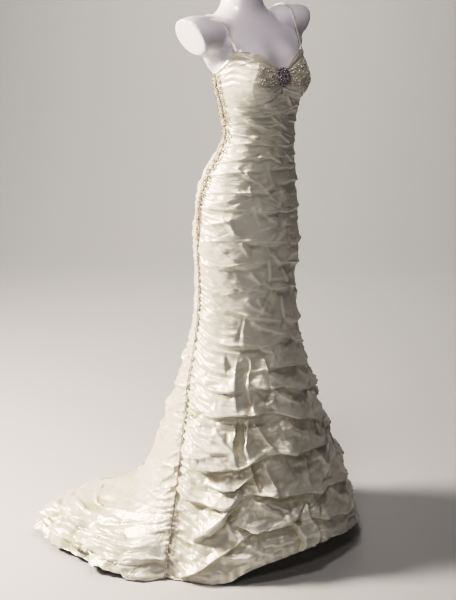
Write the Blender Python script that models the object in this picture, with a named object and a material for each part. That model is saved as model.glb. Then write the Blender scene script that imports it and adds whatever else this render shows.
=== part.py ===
"""Mermaid wedding dress of ruched ivory taffeta, standing on a white dress form.

Metres, +Z up. The wearer faces -Y, and +X is the wearer's left. The origin is the centre of the
stand's underside, on the floor under the form's pole.

The cloth is laid out in polar sections round the body: an angle of 0 is the centre front, -90 the
wearer's right side seam, +90 the left one and 180 the centre back. A nominal height runs from the
neckline to the hem; at the back right the lower sections run out along the floor as the train.
"""

import math

import bmesh
import bpy
import numpy as np
from mathutils import Matrix, Vector
from mathutils.bvhtree import BVHTree

for old in list(bpy.data.objects):
    bpy.data.objects.remove(old, do_unlink=True)

# ---------------------------------------------------------------- driving sizes, metres
CLOTH = 0.0020            # wall of the ruched taffeta over its net
SEAM_GAP = 0.0006         # free space between two pieces at a seam
TRIM_WALL = 0.0022        # beaded side trim
TRIM_LIFT = 0.0006        # space between the trim and the cloth under it
BEAD_WALL = 0.0016        # beaded lace on the cups
STRAP_WIDTH = 0.0065
STRAP_WALL = 0.0014
FORM_TOP = 1.600          # flat top of the neck
FORM_BOTTOM = 0.800       # flat underside of the hips
POLE_RADIUS = 0.0125
BASE_RADIUS = 0.140
BASE_HEIGHT = 0.014

# Sections of the dress: nominal height, half width at the side seams, depth in front of and behind
# the centre, the centre's place, and how far the train takes the section out and up.
RINGS = (
    # name          z      side   front  back   cx      cy     t_out  t_up
    ("top",        1.460, 0.131, 0.104, 0.105, 0.008, -0.030, 0.000,  0.000),
    ("armpit",     1.390, 0.135, 0.106, 0.107, 0.009, -0.034, 0.000,  0.000),
    ("bust",       1.340, 0.131, 0.104, 0.107, 0.010, -0.036, 0.000,  0.000),
    ("under_bust", 1.290, 0.119, 0.097, 0.099, 0.010, -0.038, 0.000,  0.000),
    ("waist",      1.215, 0.107, 0.086, 0.087, 0.011, -0.039, 0.000,  0.000),
    ("belly",      1.160, 0.115, 0.090, 0.097, 0.009, -0.031, 0.000,  0.000),
    ("high_hip",   1.100, 0.136, 0.107, 0.115, 0.005, -0.013, 0.000,  0.000),
    ("hip",        1.000, 0.153, 0.123, 0.132, 0.001, -0.001, 0.000,  0.000),
    ("seat",       0.900, 0.157, 0.130, 0.135, 0.000,  0.000, 0.000,  0.000),
    ("thigh",      0.800, 0.150, 0.130, 0.131, 0.000,  0.002, 0.000,  0.000),
    ("knee",       0.700, 0.154, 0.139, 0.137, 0.000,  0.003, 0.000,  0.000),
    ("calf",       0.600, 0.167, 0.155, 0.154, 0.000,  0.004, 0.000,  0.000),
    ("flare",      0.500, 0.194, 0.180, 0.182, 0.000,  0.004, 0.002,  0.000),
    ("shin",       0.400, 0.222, 0.204, 0.212, 0.000,  0.004, 0.008, -0.004),
    ("low_shin",   0.300, 0.252, 0.234, 0.240, 0.000,  0.003, 0.020, -0.018),
    ("ankle",      0.200, 0.284, 0.264, 0.266, 0.000,  0.002, 0.050, -0.030),
    ("low_ankle",  0.120, 0.311, 0.290, 0.288, 0.000,  0.000, 0.140,  0.000),
    ("floor",      0.055, 0.340, 0.308, 0.305, 0.000,  0.000, 0.235,  0.045),
    ("edge",       0.020, 0.349, 0.312, 0.310, 0.000,  0.000, 0.285,  0.034),
    ("hem",        0.000, 0.352, 0.314, 0.312, 0.000,  0.000, 0.300,  0.000),
)
RING_NAMES = [r[0] for r in RINGS]
RING = np.array([r[1:] for r in RINGS], float)[::-1]      # rising height

# How much of the train shows in each direction, by true angle from the centre front.
TRAIN = (
    # angle    share
    (-235.0, 0.00), (-210.0, 0.05), (-195.0, 0.15), (-180.0, 0.30), (-165.0, 0.50),
    (-150.0, 0.75), (-138.0, 0.95), (-130.0, 1.00), (-123.0, 0.88), (-116.0, 0.74),
    (-110.0, 0.62), (-100.0, 0.46), (-92.0, 0.35), (-86.0, 0.24), (-78.0, 0.04), (-70.0, 0.00),
)

# The side seams stand this far behind the widest point, in degrees, by height.
SEAM_SHIFT = (
    # z      degrees
    (0.000, -12.0), (0.160, -8.0), (0.300, -4.0), (0.430, 1.0), (0.585, 8.0), (0.800, 8.0),
    (1.000, 8.0), (1.215, 7.0), (1.460, 8.0),
)
# The neckline: angle from the centre front, and height of the edge there.
NECKLINE = (
    # angle   z
    (0.0,   1.390),
    (8.0,   1.393),
    (18.0,  1.409),
    (34.0,  1.427),
    (48.0,  1.433),
    (61.0,  1.429),
    (76.0,  1.401),
    (90.0,  1.376),
    (120.0, 1.352),
    (180.0, 1.336),
)
# The seam under the cups.
CUP_SEAM = (
    (0.0,   1.326),
    (20.0,  1.305),
    (45.0,  1.289),
    (70.0,  1.288),
    (90.0,  1.294),
)
# How far the hem clears the floor, by true angle.
HEM_LIFT = (
    (-180.0, 0.002), (-90.0, 0.002), (-62.0, 0.004), (-50.0, 0.014), (-40.0, 0.044),
    (-28.0, 0.065), (-10.0, 0.081), (6.0, 0.084), (25.0, 0.070), (45.0, 0.054), (80.0, 0.040),
    (115.0, 0.020), (150.0, 0.006), (180.0, 0.002),
)
# The bodice is turned a little toward the wearer's right: its centre front in degrees.
CENTRE_FRONT = -5.0
# Each cup's fullness: angle and height of its middle, spread round and up, and how far out.
CUP = {"angle": 36.0, "z": 1.352, "spread_deg": 25.0, "spread_up": 0.052,
       "spread_down": 0.040, "out": 0.028}


def steps(x, table):
    """A smooth curve through a table's rows that doesn't overshoot between them."""
    xs = np.array([r[0] for r in table], float)
    ys = np.array([r[1] for r in table], float)
    return smooth_rows(x, xs, ys)


def smooth_rows(x, xs, ys):
    h = np.diff(xs)
    d = np.diff(ys) / h
    m = np.zeros(len(xs))
    for k in range(1, len(xs) - 1):
        if d[k - 1] * d[k] > 0:
            w1, w2 = 2 * h[k] + h[k - 1], h[k] + 2 * h[k - 1]
            m[k] = (w1 + w2) / (w1 / d[k - 1] + w2 / d[k])
    m[0], m[-1] = d[0], d[-1]
    x = np.clip(np.asarray(x, float), xs[0], xs[-1])
    k = np.clip(np.searchsorted(xs, x, side="right") - 1, 0, len(h) - 1)
    t = (x - xs[k]) / h[k]
    return ((1 + 2 * t) * (1 - t) ** 2 * ys[k] + t * (1 - t) ** 2 * h[k] * m[k]
            + t * t * (3 - 2 * t) * ys[k + 1] + t * t * (t - 1) * h[k] * m[k + 1])


def wrapped(angle):
    return (np.asarray(angle, float) + 180.0) % 360.0 - 180.0


def train(angle):
    """1 where the train points, falling to 0 at its two sides."""
    angle = wrapped(angle)
    return np.clip(steps(np.where(angle > 120, angle - 360, angle), TRAIN), 0, 1)


def bell(x, lo, hi):
    return np.exp(-np.where(x < 0, (x / lo) ** 2, (x / hi) ** 2))


def from_centre(angle):
    """Degrees from the bodice's own centre front, the same as the angle at the sides and back."""
    a = wrapped(angle)
    return np.abs(a - CENTRE_FRONT * np.clip(np.cos(np.radians(a)), 0, 1))


def cups(angle, z):
    a = from_centre(angle)
    return CUP["out"] * np.exp(-((a - CUP["angle"]) / CUP["spread_deg"]) ** 2) * bell(
        np.asarray(z, float) - CUP["z"], CUP["spread_down"], CUP["spread_up"])


def seam_turn(angle, z):
    """The true direction of a nominal angle, whose +-90 follows the side seams."""
    angle = wrapped(angle)
    share = np.where(np.abs(angle) < 90, np.abs(angle) / 90, (180 - np.abs(angle)) / 90)
    return angle + np.sign(angle) * share * steps(z, SEAM_SHIFT)


def ring(angle, z):
    """Plan radius and centre of the plain section at a height, before any fold."""
    side, front, back, cx, cy, out, up = [smooth_rows(z, RING[:, 0], RING[:, k]) for k in range(1, 8)]
    rad = np.radians(angle)
    depth = np.where(np.cos(rad) > 0, front, back)
    r = 1.0 / np.sqrt((np.sin(rad) / side) ** 2 + (np.cos(rad) / depth) ** 2)
    return r + cups(angle, z), cx, cy, out, up


# The largest folds. Each is a soft ridge that leaves one side seam, sags across the panel and
# meets the other: its height at the right seam, in the middle and at the left seam, how far it
# stands out, and its reach above and below the ridge.
FRONT_FOLDS = (
    # z_right z_mid  z_left  out     above  below
    (1.262,  1.276,  1.262,  0.0026, 0.016, 0.010),
    (1.222,  1.232,  1.215,  0.0028, 0.018, 0.010),
    (1.176,  1.184,  1.170,  0.0034, 0.020, 0.012),
    (1.128,  1.126,  1.120,  0.0048, 0.026, 0.014),
    (1.072,  1.058,  1.066,  0.0062, 0.030, 0.015),
    (1.004,  0.978,  0.992,  0.0072, 0.034, 0.016),
    (0.940,  0.904,  0.926,  0.0078, 0.036, 0.016),
    (0.872,  0.826,  0.852,  0.0084, 0.038, 0.017),
    (0.800,  0.744,  0.782,  0.0094, 0.042, 0.018),
    (0.722,  0.652,  0.700,  0.0110, 0.046, 0.019),
    (0.640,  0.560,  0.612,  0.0130, 0.050, 0.021),
    (0.548,  0.452,  0.520,  0.0170, 0.056, 0.023),
    (0.440,  0.330,  0.410,  0.0200, 0.060, 0.025),
    (0.320,  0.212,  0.290,  0.0200, 0.058, 0.025),
    (0.190,  0.098,  0.170,  0.0170, 0.050, 0.023),
)
BACK_FOLDS = (
    # z_side z_mid  out     above  below
    (1.250,  1.244, 0.0026, 0.018, 0.010),
    (1.198,  1.190, 0.0028, 0.018, 0.010),
    (1.140,  1.128, 0.0042, 0.024, 0.013),
    (1.076,  1.060, 0.0058, 0.030, 0.015),
    (1.008,  0.986, 0.0068, 0.034, 0.016),
    (0.938,  0.910, 0.0076, 0.036, 0.016),
    (0.866,  0.832, 0.0084, 0.038, 0.017),
    (0.790,  0.750, 0.0096, 0.042, 0.018),
    (0.710,  0.664, 0.0110, 0.044, 0.019),
    (0.626,  0.572, 0.0128, 0.048, 0.021),
    (0.536,  0.474, 0.0155, 0.052, 0.023),
    (0.436,  0.366, 0.0180, 0.056, 0.025),
    (0.328,  0.254, 0.0180, 0.050, 0.024),
    (0.216,  0.158, 0.0160, 0.040, 0.021),
    (0.112,  0.080, 0.0120, 0.026, 0.016),
)


def fold_line(row, angle):
    """A fold's height at each nominal angle: the front table has three heights, the back two."""
    a = np.abs(wrapped(angle))
    if len(row) == 6:
        zr, zm, zl = row[:3]
        across = np.clip(wrapped(angle) / 90.0, -1, 1)
        return zm + (zl - zr) / 2 * across + ((zr + zl) / 2 - zm) * across ** 2
    return row[1] + (row[0] - row[1]) * np.clip((180.0 - a) / 90.0, 0, 1) ** 2


def folds(angle, z):
    """How far the largest folds lift the cloth off its plain section."""
    angle, z = np.broadcast_arrays(wrapped(angle), np.asarray(z, float))
    a = np.abs(angle)
    total = np.zeros(angle.shape)
    for table, here, edge in ((FRONT_FOLDS, a <= 90.0, 90.0 - a),
                              (BACK_FOLDS, a > 90.0, np.minimum(a - 90.0, 1.8 * (180.0 - a)))):
        share = 0.30 + 0.70 * np.clip(edge / 18.0, 0, 1)
        for row in table:
            out, above, below = row[-3:]
            total += np.where(here, out * share * bell(z - fold_line(row, angle), below, above), 0)
    return total


def plain(angle, z):
    """A point on the dress with no folds, at an angle and a nominal height."""
    angle, z = np.broadcast_arrays(np.asarray(angle, float), np.asarray(z, float))
    turned = seam_turn(angle, z)
    r, cx, cy, out, up = ring(turned, z)
    t = train(turned)
    r = r + out * t
    rad = np.radians(turned)
    low = np.clip(1 - z / 0.30, 0, 1) ** 2
    high = z + up * t + steps(wrapped(turned), HEM_LIFT) * low
    return np.stack([cx + r * np.sin(rad), cy - r * np.cos(rad), high], axis=-1)


def facing(angle, z, e=0.004):
    """The plain surface's outward direction."""
    ta = plain(angle + 1.0, z) - plain(angle - 1.0, z)
    tz = plain(angle, z + e) - plain(angle, z - e)
    n = np.cross(ta, tz)
    return n / np.linalg.norm(n, axis=-1, keepdims=True)


def surface(angle, z):
    """A point on the dress's outer face, folds and all."""
    angle, z = np.broadcast_arrays(np.asarray(angle, float), np.asarray(z, float))
    return plain(angle, z) + facing(angle, z) * folds(angle, z)[..., None]


def outward(angle, z, lo=-1e9, hi=1e9, e=0.002):
    """The face's outward direction, from its slopes; lo and hi keep it inside one panel."""
    angle = np.asarray(angle, float)
    ta = surface(np.minimum(angle + 0.4, hi), z) - surface(np.maximum(angle - 0.4, lo), z)
    tz = surface(angle, z + e) - surface(angle, z - e)
    n = np.cross(ta, tz)
    return n / np.linalg.norm(n, axis=-1, keepdims=True)


# ---------------------------------------------------------------- making objects
def material(name, colour, roughness, metallic=0.0):
    m = bpy.data.materials.new(name)
    m.use_nodes = True
    s = m.node_tree.nodes["Principled BSDF"]
    s.inputs["Base Color"].default_value = (*colour, 1.0)
    s.inputs["Roughness"].default_value = roughness
    s.inputs["Metallic"].default_value = metallic
    return m


TAFFETA = (0.86, 0.83, 0.76)
WHITE_FORM = (0.86, 0.85, 0.87)


def add(name, verts, faces, colour, roughness, metallic=0.0, smooth=True):
    mesh = bpy.data.meshes.new(name)
    mesh.from_pydata([tuple(v) for v in verts], [], faces)
    bm = bmesh.new()
    bm.from_mesh(mesh)
    bmesh.ops.recalc_face_normals(bm, faces=bm.faces)
    if bm.calc_volume(signed=True) < 0:
        bmesh.ops.reverse_faces(bm, faces=bm.faces)
    bm.to_mesh(mesh)
    bm.free()
    mesh.materials.append(material(name, colour, roughness, metallic))
    if smooth:
        mesh.shade_smooth()
        mesh.set_sharp_from_angle(angle=math.radians(50))
    obj = bpy.data.objects.new(name, mesh)
    bpy.context.scene.collection.objects.link(obj)
    return obj


def wall(name, outer, inner, colour, roughness):
    """A closed wall between two matching grids of points, rows by columns."""
    rows, cols = outer.shape[:2]
    verts = np.concatenate([outer.reshape(-1, 3), inner.reshape(-1, 3)])
    n = rows * cols
    faces = []
    for i in range(rows - 1):
        for j in range(cols - 1):
            a, b, c, d = i * cols + j, i * cols + j + 1, (i + 1) * cols + j + 1, (i + 1) * cols + j
            if np.linalg.norm(verts[a] - verts[c]) > np.linalg.norm(verts[b] - verts[d]):
                a, b, c, d = b, c, d, a
            # Both faces of the wall are split along the same diagonal.
            faces += [(a, b, c), (a, c, d), (n + c, n + b, n + a), (n + d, n + c, n + a)]
    rim = ([j for j in range(cols)] + [i * cols + cols - 1 for i in range(1, rows)]
           + [(rows - 1) * cols + j for j in range(cols - 2, -1, -1)]
           + [i * cols for i in range(rows - 2, 0, -1)])
    for k, a in enumerate(rim):
        b = rim[(k + 1) % len(rim)]
        faces.append((b, a, n + a, n + b))
    return add(name, verts, faces, colour, roughness)


def panel_rows(angles, top, bottom, table, extra=()):
    """Row heights that follow the folds: above, on and below each ridge, between two edges."""
    lines = [np.full(angles.shape, z) for z in extra]
    for row in table:
        ridge = fold_line(row, angles)
        lines += [ridge + 0.75 * row[-2], ridge, ridge - 1.15 * row[-1]]
    hi, lo = top(angles), bottom(angles)
    gap = 0.0035
    rows = -np.sort(-np.stack(lines), axis=0)
    n = len(rows)
    for i in range(n):
        rows[i] = np.minimum(rows[i], (hi if i == 0 else rows[i - 1]) - gap)
    for i in reversed(range(n)):
        rows[i] = np.maximum(rows[i], (lo if i == n - 1 else rows[i + 1]) + gap)
    return np.concatenate([hi[None], rows, lo[None]])


def panel_points(angles, heights):
    """Outer and inner grids of a panel."""
    grid = np.repeat(angles[None, :], len(heights), axis=0)
    outer = surface(grid, heights)
    return outer, outer - CLOTH * outward(grid, heights, angles[0], angles[-1])


def seam_angles(a0, a1, count, radius=0.13):
    """Even angles between two seams, each end drawn in by half the seam gap."""
    half = math.degrees(SEAM_GAP / 2 / radius) * 1.35
    return np.linspace(a0 + half, a1 - half, count)


def neckline(angle):
    return steps(from_centre(angle), NECKLINE)


def cup_seam(angle):
    return steps(from_centre(angle), CUP_SEAM)


def hem(angle):
    return np.zeros(np.shape(angle)) + 0.0


def keep_off_floor(points):
    points[..., 2] = np.maximum(points[..., 2], 0.0004)
    return points


# ---------------------------------------------------------------- the dress
FRONT_COLUMNS, BACK_COLUMNS, CUP_COLUMNS, CUP_ROWS = 21, 11, 14, 11

ang = seam_angles(-90.0, 90.0, FRONT_COLUMNS)
rows = panel_rows(ang, lambda a: cup_seam(a) - SEAM_GAP, hem, FRONT_FOLDS, (1.296,))
outer, inner = panel_points(ang, rows)
wall("front_panel", keep_off_floor(outer), keep_off_floor(inner), TAFFETA, 0.42)

for side, a0, a1 in (("right", -180.0, -90.0), ("left", 90.0, 180.0)):
    ang = seam_angles(a0, a1, BACK_COLUMNS)
    t = (ang - ang[0]) / (ang[-1] - ang[0])                   # closer together by the side seam
    ang = ang[0] + (ang[-1] - ang[0]) * (t ** 1.4 if side == "left" else 1 - (1 - t) ** 1.4)
    rows = panel_rows(ang, neckline, hem, BACK_FOLDS, (1.348, 1.312, 1.283))
    outer, inner = panel_points(ang, rows)
    wall(f"back_{side}_panel", keep_off_floor(outer), keep_off_floor(inner), TAFFETA, 0.42)

for side, a0, a1 in (("right", -90.0, CENTRE_FRONT), ("left", CENTRE_FRONT, 90.0)):
    ang = seam_angles(a0, a1, CUP_COLUMNS)
    t = np.linspace(0, 1, CUP_ROWS)[:, None]
    outer, inner = panel_points(ang, neckline(ang) * (1 - t) + (cup_seam(ang) + SEAM_GAP / 2) * t)
    wall(f"cup_{side}", outer, inner, TAFFETA, 0.42)
    # Beaded lace on the inner half of the cup, from the cup's own points moved out.
    part = slice(8, 13) if side == "right" else slice(1, 6)
    skin, n = outer[1:10, part], (outer - inner)[1:10, part] / CLOTH
    wall(f"cup_lace_{side}", skin + n * (0.0008 + BEAD_WALL), skin + n * 0.0008, (0.72, 0.64, 0.50), 0.45)

# Beaded trim down each side seam: lace width at the bodice, a narrow bead line on the skirt.
TRIM_HALF_WIDTH = (
    # z      half width
    (0.000, 0.0030), (0.600, 0.0034), (0.900, 0.0048), (1.020, 0.0090), (1.100, 0.0140), (1.210, 0.0155),
    (1.300, 0.0185), (1.365, 0.0195),
)
TRIM_ROWS, FINE = 46, 6


def over_cloth(panels, a, z, n):
    """How far the panels' faceted surface stands above the points at a and z, seen along n."""
    base = surface(a, z)
    best = np.zeros(a.shape)
    for tree in panels:
        for k in np.ndindex(a.shape):
            hit = tree.ray_cast(Vector(base[k] + 0.03 * n[k]), Vector(-n[k]), 0.06)
            if hit[0] is not None:
                best[k] = max(best[k], 0.03 - hit[3])
    return best


for side, seam in (("right", -90.0), ("left", 90.0)):
    z = np.linspace(neckline(np.array([seam]))[0] - 0.002, 0.004, (TRIM_ROWS - 1) * FINE + 1)[:, None]
    turn = np.degrees(steps(z, TRIM_HALF_WIDTH) / ring(np.full(z.shape, seam), z)[0])
    a = seam + turn * np.array([[-1.0, -0.5, 0.0, 0.5, 1.0]])
    zz = np.repeat(z, 5, axis=1)
    n = outward(np.full_like(a, seam), zz)
    trees = [BVHTree.FromObject(bpy.data.objects[name], bpy.context.evaluated_depsgraph_get())
             for name in ("front_panel", f"back_{side}_panel", f"cup_{side}")]
    rise = over_cloth(trees, a, zz, n).max(axis=1)
    rise = np.array([rise[max(0, k - FINE):k + FINE + 1].max() for k in range(0, len(rise), FINE)])[:, None, None]
    a, zz, n = a[::FINE, ::2], zz[::FINE, ::2], n[::FINE, ::2]
    rise = rise + (0.0030 * np.exp(-((zz - 0.115) / 0.035) ** 2)[:, :1, None] if side == "right" else 0.0)
    bottom = surface(a, zz) + n * (TRIM_LIFT + 0.0006 + rise)      # over the train's first bulge
    wall(f"side_trim_{side}", keep_off_floor(bottom + n * TRIM_WALL), keep_off_floor(bottom), (0.78, 0.72, 0.62), 0.5)

# Concealed zip down the centre back: its closed tape edge, the slider and the hanging pull tab.
ZIP_TOP, ZIP_BOTTOM, ZIP_HALF = 1.3335, 0.950, 0.0032
heights = np.array(sorted({round(float(v), 5) for row in BACK_FOLDS for v in
                           (row[1] + 0.75 * row[-2], row[1], row[1] - 1.15 * row[-1])
                           if ZIP_BOTTOM + 0.006 < v < ZIP_TOP - 0.008} | {ZIP_TOP, 1.312, 1.283, ZIP_BOTTOM}))[::-1]
a = 180.0 + np.degrees(ZIP_HALF / 0.10) * np.array([[-1.0, 0.0, 1.0]])
a, zz = np.broadcast_arrays(a, heights[:, None])
base, n = surface(a, zz), outward(a, zz)
wall("back_zip", base + n * 0.0022, base + n * 0.0010, (0.84, 0.81, 0.74), 0.5)

ZIP_Z = 1.3240
zip_at = surface(np.array([180.0]), np.array([ZIP_Z]))[0]
zip_out = outward(np.array([180.0]), np.array([ZIP_Z]))[0]
zip_out[0] = 0.0
zip_out /= np.linalg.norm(zip_out)
zip_up = np.cross(zip_out, [1.0, 0.0, 0.0])
zip_up *= np.sign(zip_up[2])


def zip_point(x, out, up):
    return zip_at + np.array([x, 0.0, 0.0]) + zip_out * out + zip_up * up


def prism(name, outline, place, colour, roughness, metallic):
    """A closed body between two copies of an outline: place(u, v, 0) and place(u, v, 1)."""
    n = len(outline)
    verts = [place(u, v, 0) for u, v in outline] + [place(u, v, 1) for u, v in outline]
    faces = [tuple(range(n)), tuple(range(2 * n - 1, n - 1, -1))]
    faces += [(i, (i + 1) % n, n + (i + 1) % n, n + i) for i in range(n)]
    return add(name, verts, faces, colour, roughness, metallic, smooth=False)


SLIDER_BACK, SLIDER_PLATE, LUG_OUT = 0.0030, 0.0012, 0.0078
PULL_OUT, PULL_UP, PULL_THICK, PULL_LONG = 0.0066, 0.0030, 0.0011, 0.0180
channel = [(-0.0036, SLIDER_BACK), (0.0036, SLIDER_BACK), (0.0036, LUG_OUT), (0.0027, LUG_OUT),
           (0.0027, SLIDER_BACK + SLIDER_PLATE), (-0.0027, SLIDER_BACK + SLIDER_PLATE),
           (-0.0027, LUG_OUT), (-0.0036, LUG_OUT)]
prism("zip_slider", channel, lambda u, v, k: zip_point(u, v, PULL_UP - 0.0028 + 0.0050 * k),
      (0.83, 0.80, 0.74), 0.4, 0.2)
drop = [(0.0019 * math.sin(t), 0.0010 + 0.0007 * math.cos(t)) for t in (-1.57, -0.8, 0.0, 0.8, 1.57)]
drop += [(0.0021, -0.004), (0.0026, -0.010)]
drop += [(0.0029 * math.cos(t), 0.0029 * math.sin(t) + 0.0029 - PULL_LONG) for t in (0.0, -0.5, -1.05, -1.57, -2.09, -2.64, -3.1416)]
drop += [(-0.0026, -0.010), (-0.0021, -0.004)]
pivot = Vector(zip_point(0.0, PULL_OUT, PULL_UP))
# The tab hangs plumb from the slider's lugs.
pull = prism("zip_pull", drop, lambda u, v, k: np.array(pivot) + (u, PULL_THICK * (k - 0.5), v),
             (0.83, 0.80, 0.74), 0.35, 0.3)
pull.data.transform(Matrix.Translation(-pivot))
pull.location = pivot

# Brooch at the centre of the neckline: a domed oval that narrows downwards.
BROOCH_Z, BROOCH_WIDE, BROOCH_TALL, BROOCH_DOME = 1.366, 0.034, 0.046, 0.0060
SPOKES, HOOPS = 28, 7
u = np.linspace(0, 1, HOOPS + 1)[1:, None]
w = np.radians(np.linspace(0, 360, SPOKES, endpoint=False))[None, :]
across = u * np.sin(w) * BROOCH_WIDE / 2 * (1 + 0.12 * np.cos(w))
up = u * np.cos(w) * BROOCH_TALL / 2
mid = surface(np.array([CENTRE_FRONT]), np.array([BROOCH_Z]))[0]
either = surface(np.array([CENTRE_FRONT - 9.0, CENTRE_FRONT + 9.0]), np.array([BROOCH_Z, BROOCH_Z]))
side_way = (either[1] - either[0]) / np.linalg.norm(either[1] - either[0])
up_way = surface(np.array([CENTRE_FRONT]), np.array([BROOCH_Z + 0.02]))[0] - surface(np.array([CENTRE_FRONT]), np.array([BROOCH_Z - 0.02]))[0]
face = np.cross(side_way, up_way)
face /= np.linalg.norm(face)
up_way = np.cross(face, side_way)
flat = mid + face * 0.0080 + across[..., None] * side_way + up[..., None] * up_way
rise = BROOCH_DOME * np.sqrt(np.clip(1 - (u * np.ones_like(w)) ** 2, 0, 1)) + 0.0016
dome = flat + face * rise[..., None]
back = flat - face * 0.0012
verts = [mid + face * (0.0080 + BROOCH_DOME + 0.0016)] + list(dome.reshape(-1, 3))
off = len(verts)
verts += [mid + face * (0.0080 - 0.0012)] + list(back.reshape(-1, 3))
faces = []
for j in range(SPOKES):
    k = (j + 1) % SPOKES
    faces.append((0, 1 + j, 1 + k))
    faces.append((off, off + 1 + k, off + 1 + j))
    for i in range(HOOPS - 1):
        a, b = 1 + i * SPOKES + j, 1 + i * SPOKES + k
        c, d = a + SPOKES, b + SPOKES
        faces.append((a, c, d, b))
        faces.append((off + b, off + d, off + c, off + a))
    a, b = 1 + (HOOPS - 1) * SPOKES + j, 1 + (HOOPS - 1) * SPOKES + k
    faces.append((a, off + a, off + b, b))
add("brooch", verts, faces, (0.42, 0.38, 0.40), 0.25, 0.8)

# ---------------------------------------------------------------- the dress form and its stand
FORM_GAP = 0.0045         # from the cloth's plain outer face to the form, so clear of its wall
# Bare sections above the dress.
FORM_RINGS = (
    # z     side   front  back   cx     cy
    (1.345, 0.1280, 0.1010, 0.1020, 0.010, -0.0360),
    (1.380, 0.1450, 0.0990, 0.1090, 0.010, -0.0340),
    (1.415, 0.1640, 0.0900, 0.1160, 0.010, -0.0300),
    (1.445, 0.1680, 0.0800, 0.1120, 0.008, -0.0230),
    (1.470, 0.1620, 0.0710, 0.1030, 0.006, -0.0130),
    (1.490, 0.1460, 0.0640, 0.0860, 0.004, -0.0020),
    (1.507, 0.1240, 0.0590, 0.0720, 0.002,  0.0060),
    (1.521, 0.0970, 0.0560, 0.0620, 0.001,  0.0120),
    (1.534, 0.0740, 0.0545, 0.0570, 0.000,  0.0160),
    (1.548, 0.0610, 0.0540, 0.0550, 0.000,  0.0180),
    (1.570, 0.0550, 0.0530, 0.0530, 0.000,  0.0200),
    (1.600, 0.0540, 0.0520, 0.0520, 0.000,  0.0220),
)
LEFT_RAISED = 0.022
# Arm stumps: distance from the middle, centre's place, half depth, half height, and how far the
# section leans, in run per rise, so that the flat end looks outward and down.
STUMP = (
    # x     y       z      half_y  half_z  lean
    (0.070,  0.002, 1.466, 0.0520, 0.0440, 0.00),
    (0.110,  0.000, 1.470, 0.0570, 0.0500, 0.10),
    (0.140, -0.002, 1.472, 0.0590, 0.0510, 0.26),
    (0.162, -0.004, 1.472, 0.0580, 0.0500, 0.40),
    (0.178, -0.005, 1.470, 0.0560, 0.0480, 0.50),
    (0.187, -0.005, 1.469, 0.0540, 0.0460, 0.54),
)


def form_point(angle, z):
    angle, z = np.broadcast_arrays(np.asarray(angle, float), np.asarray(z, float))
    rad = np.radians(angle)
    r1, x1, y1 = ring(angle, np.minimum(z, 1.45))[:3]
    col = [smooth_rows(z, np.array([r[0] for r in FORM_RINGS]), np.array([r[k] for r in FORM_RINGS]))
           for k in range(1, 6)]
    depth = np.where(np.cos(rad) > 0, col[1], col[2])
    r2 = 1.0 / np.sqrt((np.sin(rad) / col[0]) ** 2 + (np.cos(rad) / depth) ** 2) + 0.80 * cups(angle, z)
    r2 = r2 + 0.013 * np.exp(-((from_centre(angle) - 31) / 17) ** 2) * bell(z - 1.420, 0.03, 0.030)
    t = np.clip((z - 1.345) / 0.035, 0, 1)
    t = t * t * (3 - 2 * t)
    inside = r1 - FORM_GAP                                    # clear of the dress up to its top edge
    edge = np.max([neckline(angle + d) for d in (-9.0, -4.0, 0.0, 4.0, 9.0)], axis=0)
    r = np.minimum(inside * (1 - t) + r2 * t, inside + 1.3 * np.maximum(0, z - edge - 0.010))
    t = np.clip((z - 1.40) / 0.05, 0, 1)
    t = t * t * (3 - 2 * t)
    cx, cy = x1 * (1 - t) + col[3] * t, y1 * (1 - t) + col[4] * t
    return np.stack([cx + r * np.sin(rad), cy - r * np.cos(rad), z * np.ones_like(r)], axis=-1)


def loft(name, rings, colour, roughness):
    """A closed body through matching closed rings, capped flat at both ends."""
    rings = np.asarray(rings)
    n = rings.shape[1]
    verts = list(rings.reshape(-1, 3))
    faces = [tuple(range(n)), tuple(range(len(verts) - n, len(verts)))]
    for i in range(len(rings) - 1):
        for j in range(n):
            k = (j + 1) % n
            faces.append((i * n + j, i * n + k, (i + 1) * n + k, (i + 1) * n + j))
    return add(name, verts, faces, colour, roughness)


around = np.linspace(-180, 180, 56, endpoint=False)
levels = np.concatenate([np.linspace(FORM_BOTTOM, 1.30, 15), np.linspace(1.325, 1.448, 12),
                         [1.460, 1.474, 1.487, 1.499, 1.510, 1.520, 1.530, 1.542, 1.556, 1.576, FORM_TOP]])
torso = loft("form_torso", [form_point(around, z) for z in levels], WHITE_FORM, 0.3)
for s in (-1.0, 1.0):
    w = np.radians(np.linspace(0, 360, 24, endpoint=False))
    raised = LEFT_RAISED if s > 0 else 0.0                # the form's left shoulder is held higher
    reach = 0.945 if s > 0 else 1.10
    rings = [np.stack([0.004 + s * (x * reach + lean * hz * np.cos(w)), y + hy * np.sin(w) * (1.0 if s > 0 else 1.05),
                       z + raised * min(1.0, x / 0.11) + hz * np.cos(w) * (1.0 if s > 0 else 1.04)], axis=-1)
             for x, y, z, hy, hz, lean in STUMP]
    stump = loft("stump", rings, WHITE_FORM, 0.3)
    cut = torso.modifiers.new("union", "BOOLEAN")
    cut.operation, cut.solver, cut.object = "UNION", "EXACT", stump
    bpy.context.view_layer.update()
    mesh = bpy.data.meshes.new_from_object(torso.evaluated_get(bpy.context.evaluated_depsgraph_get()))
    torso.modifiers.clear()
    torso.data = mesh
    bpy.data.objects.remove(stump, do_unlink=True)
torso.data.materials.clear()
torso.data.materials.append(bpy.data.materials["form_torso"])
torso.data.shade_smooth()
torso.data.set_sharp_from_angle(angle=math.radians(50))

around = np.radians(np.linspace(0, 360, 40, endpoint=False))


def disc_ring(radius, z):
    return np.stack([radius * np.cos(around), radius * np.sin(around), np.full(40, z)], axis=-1)


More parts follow.
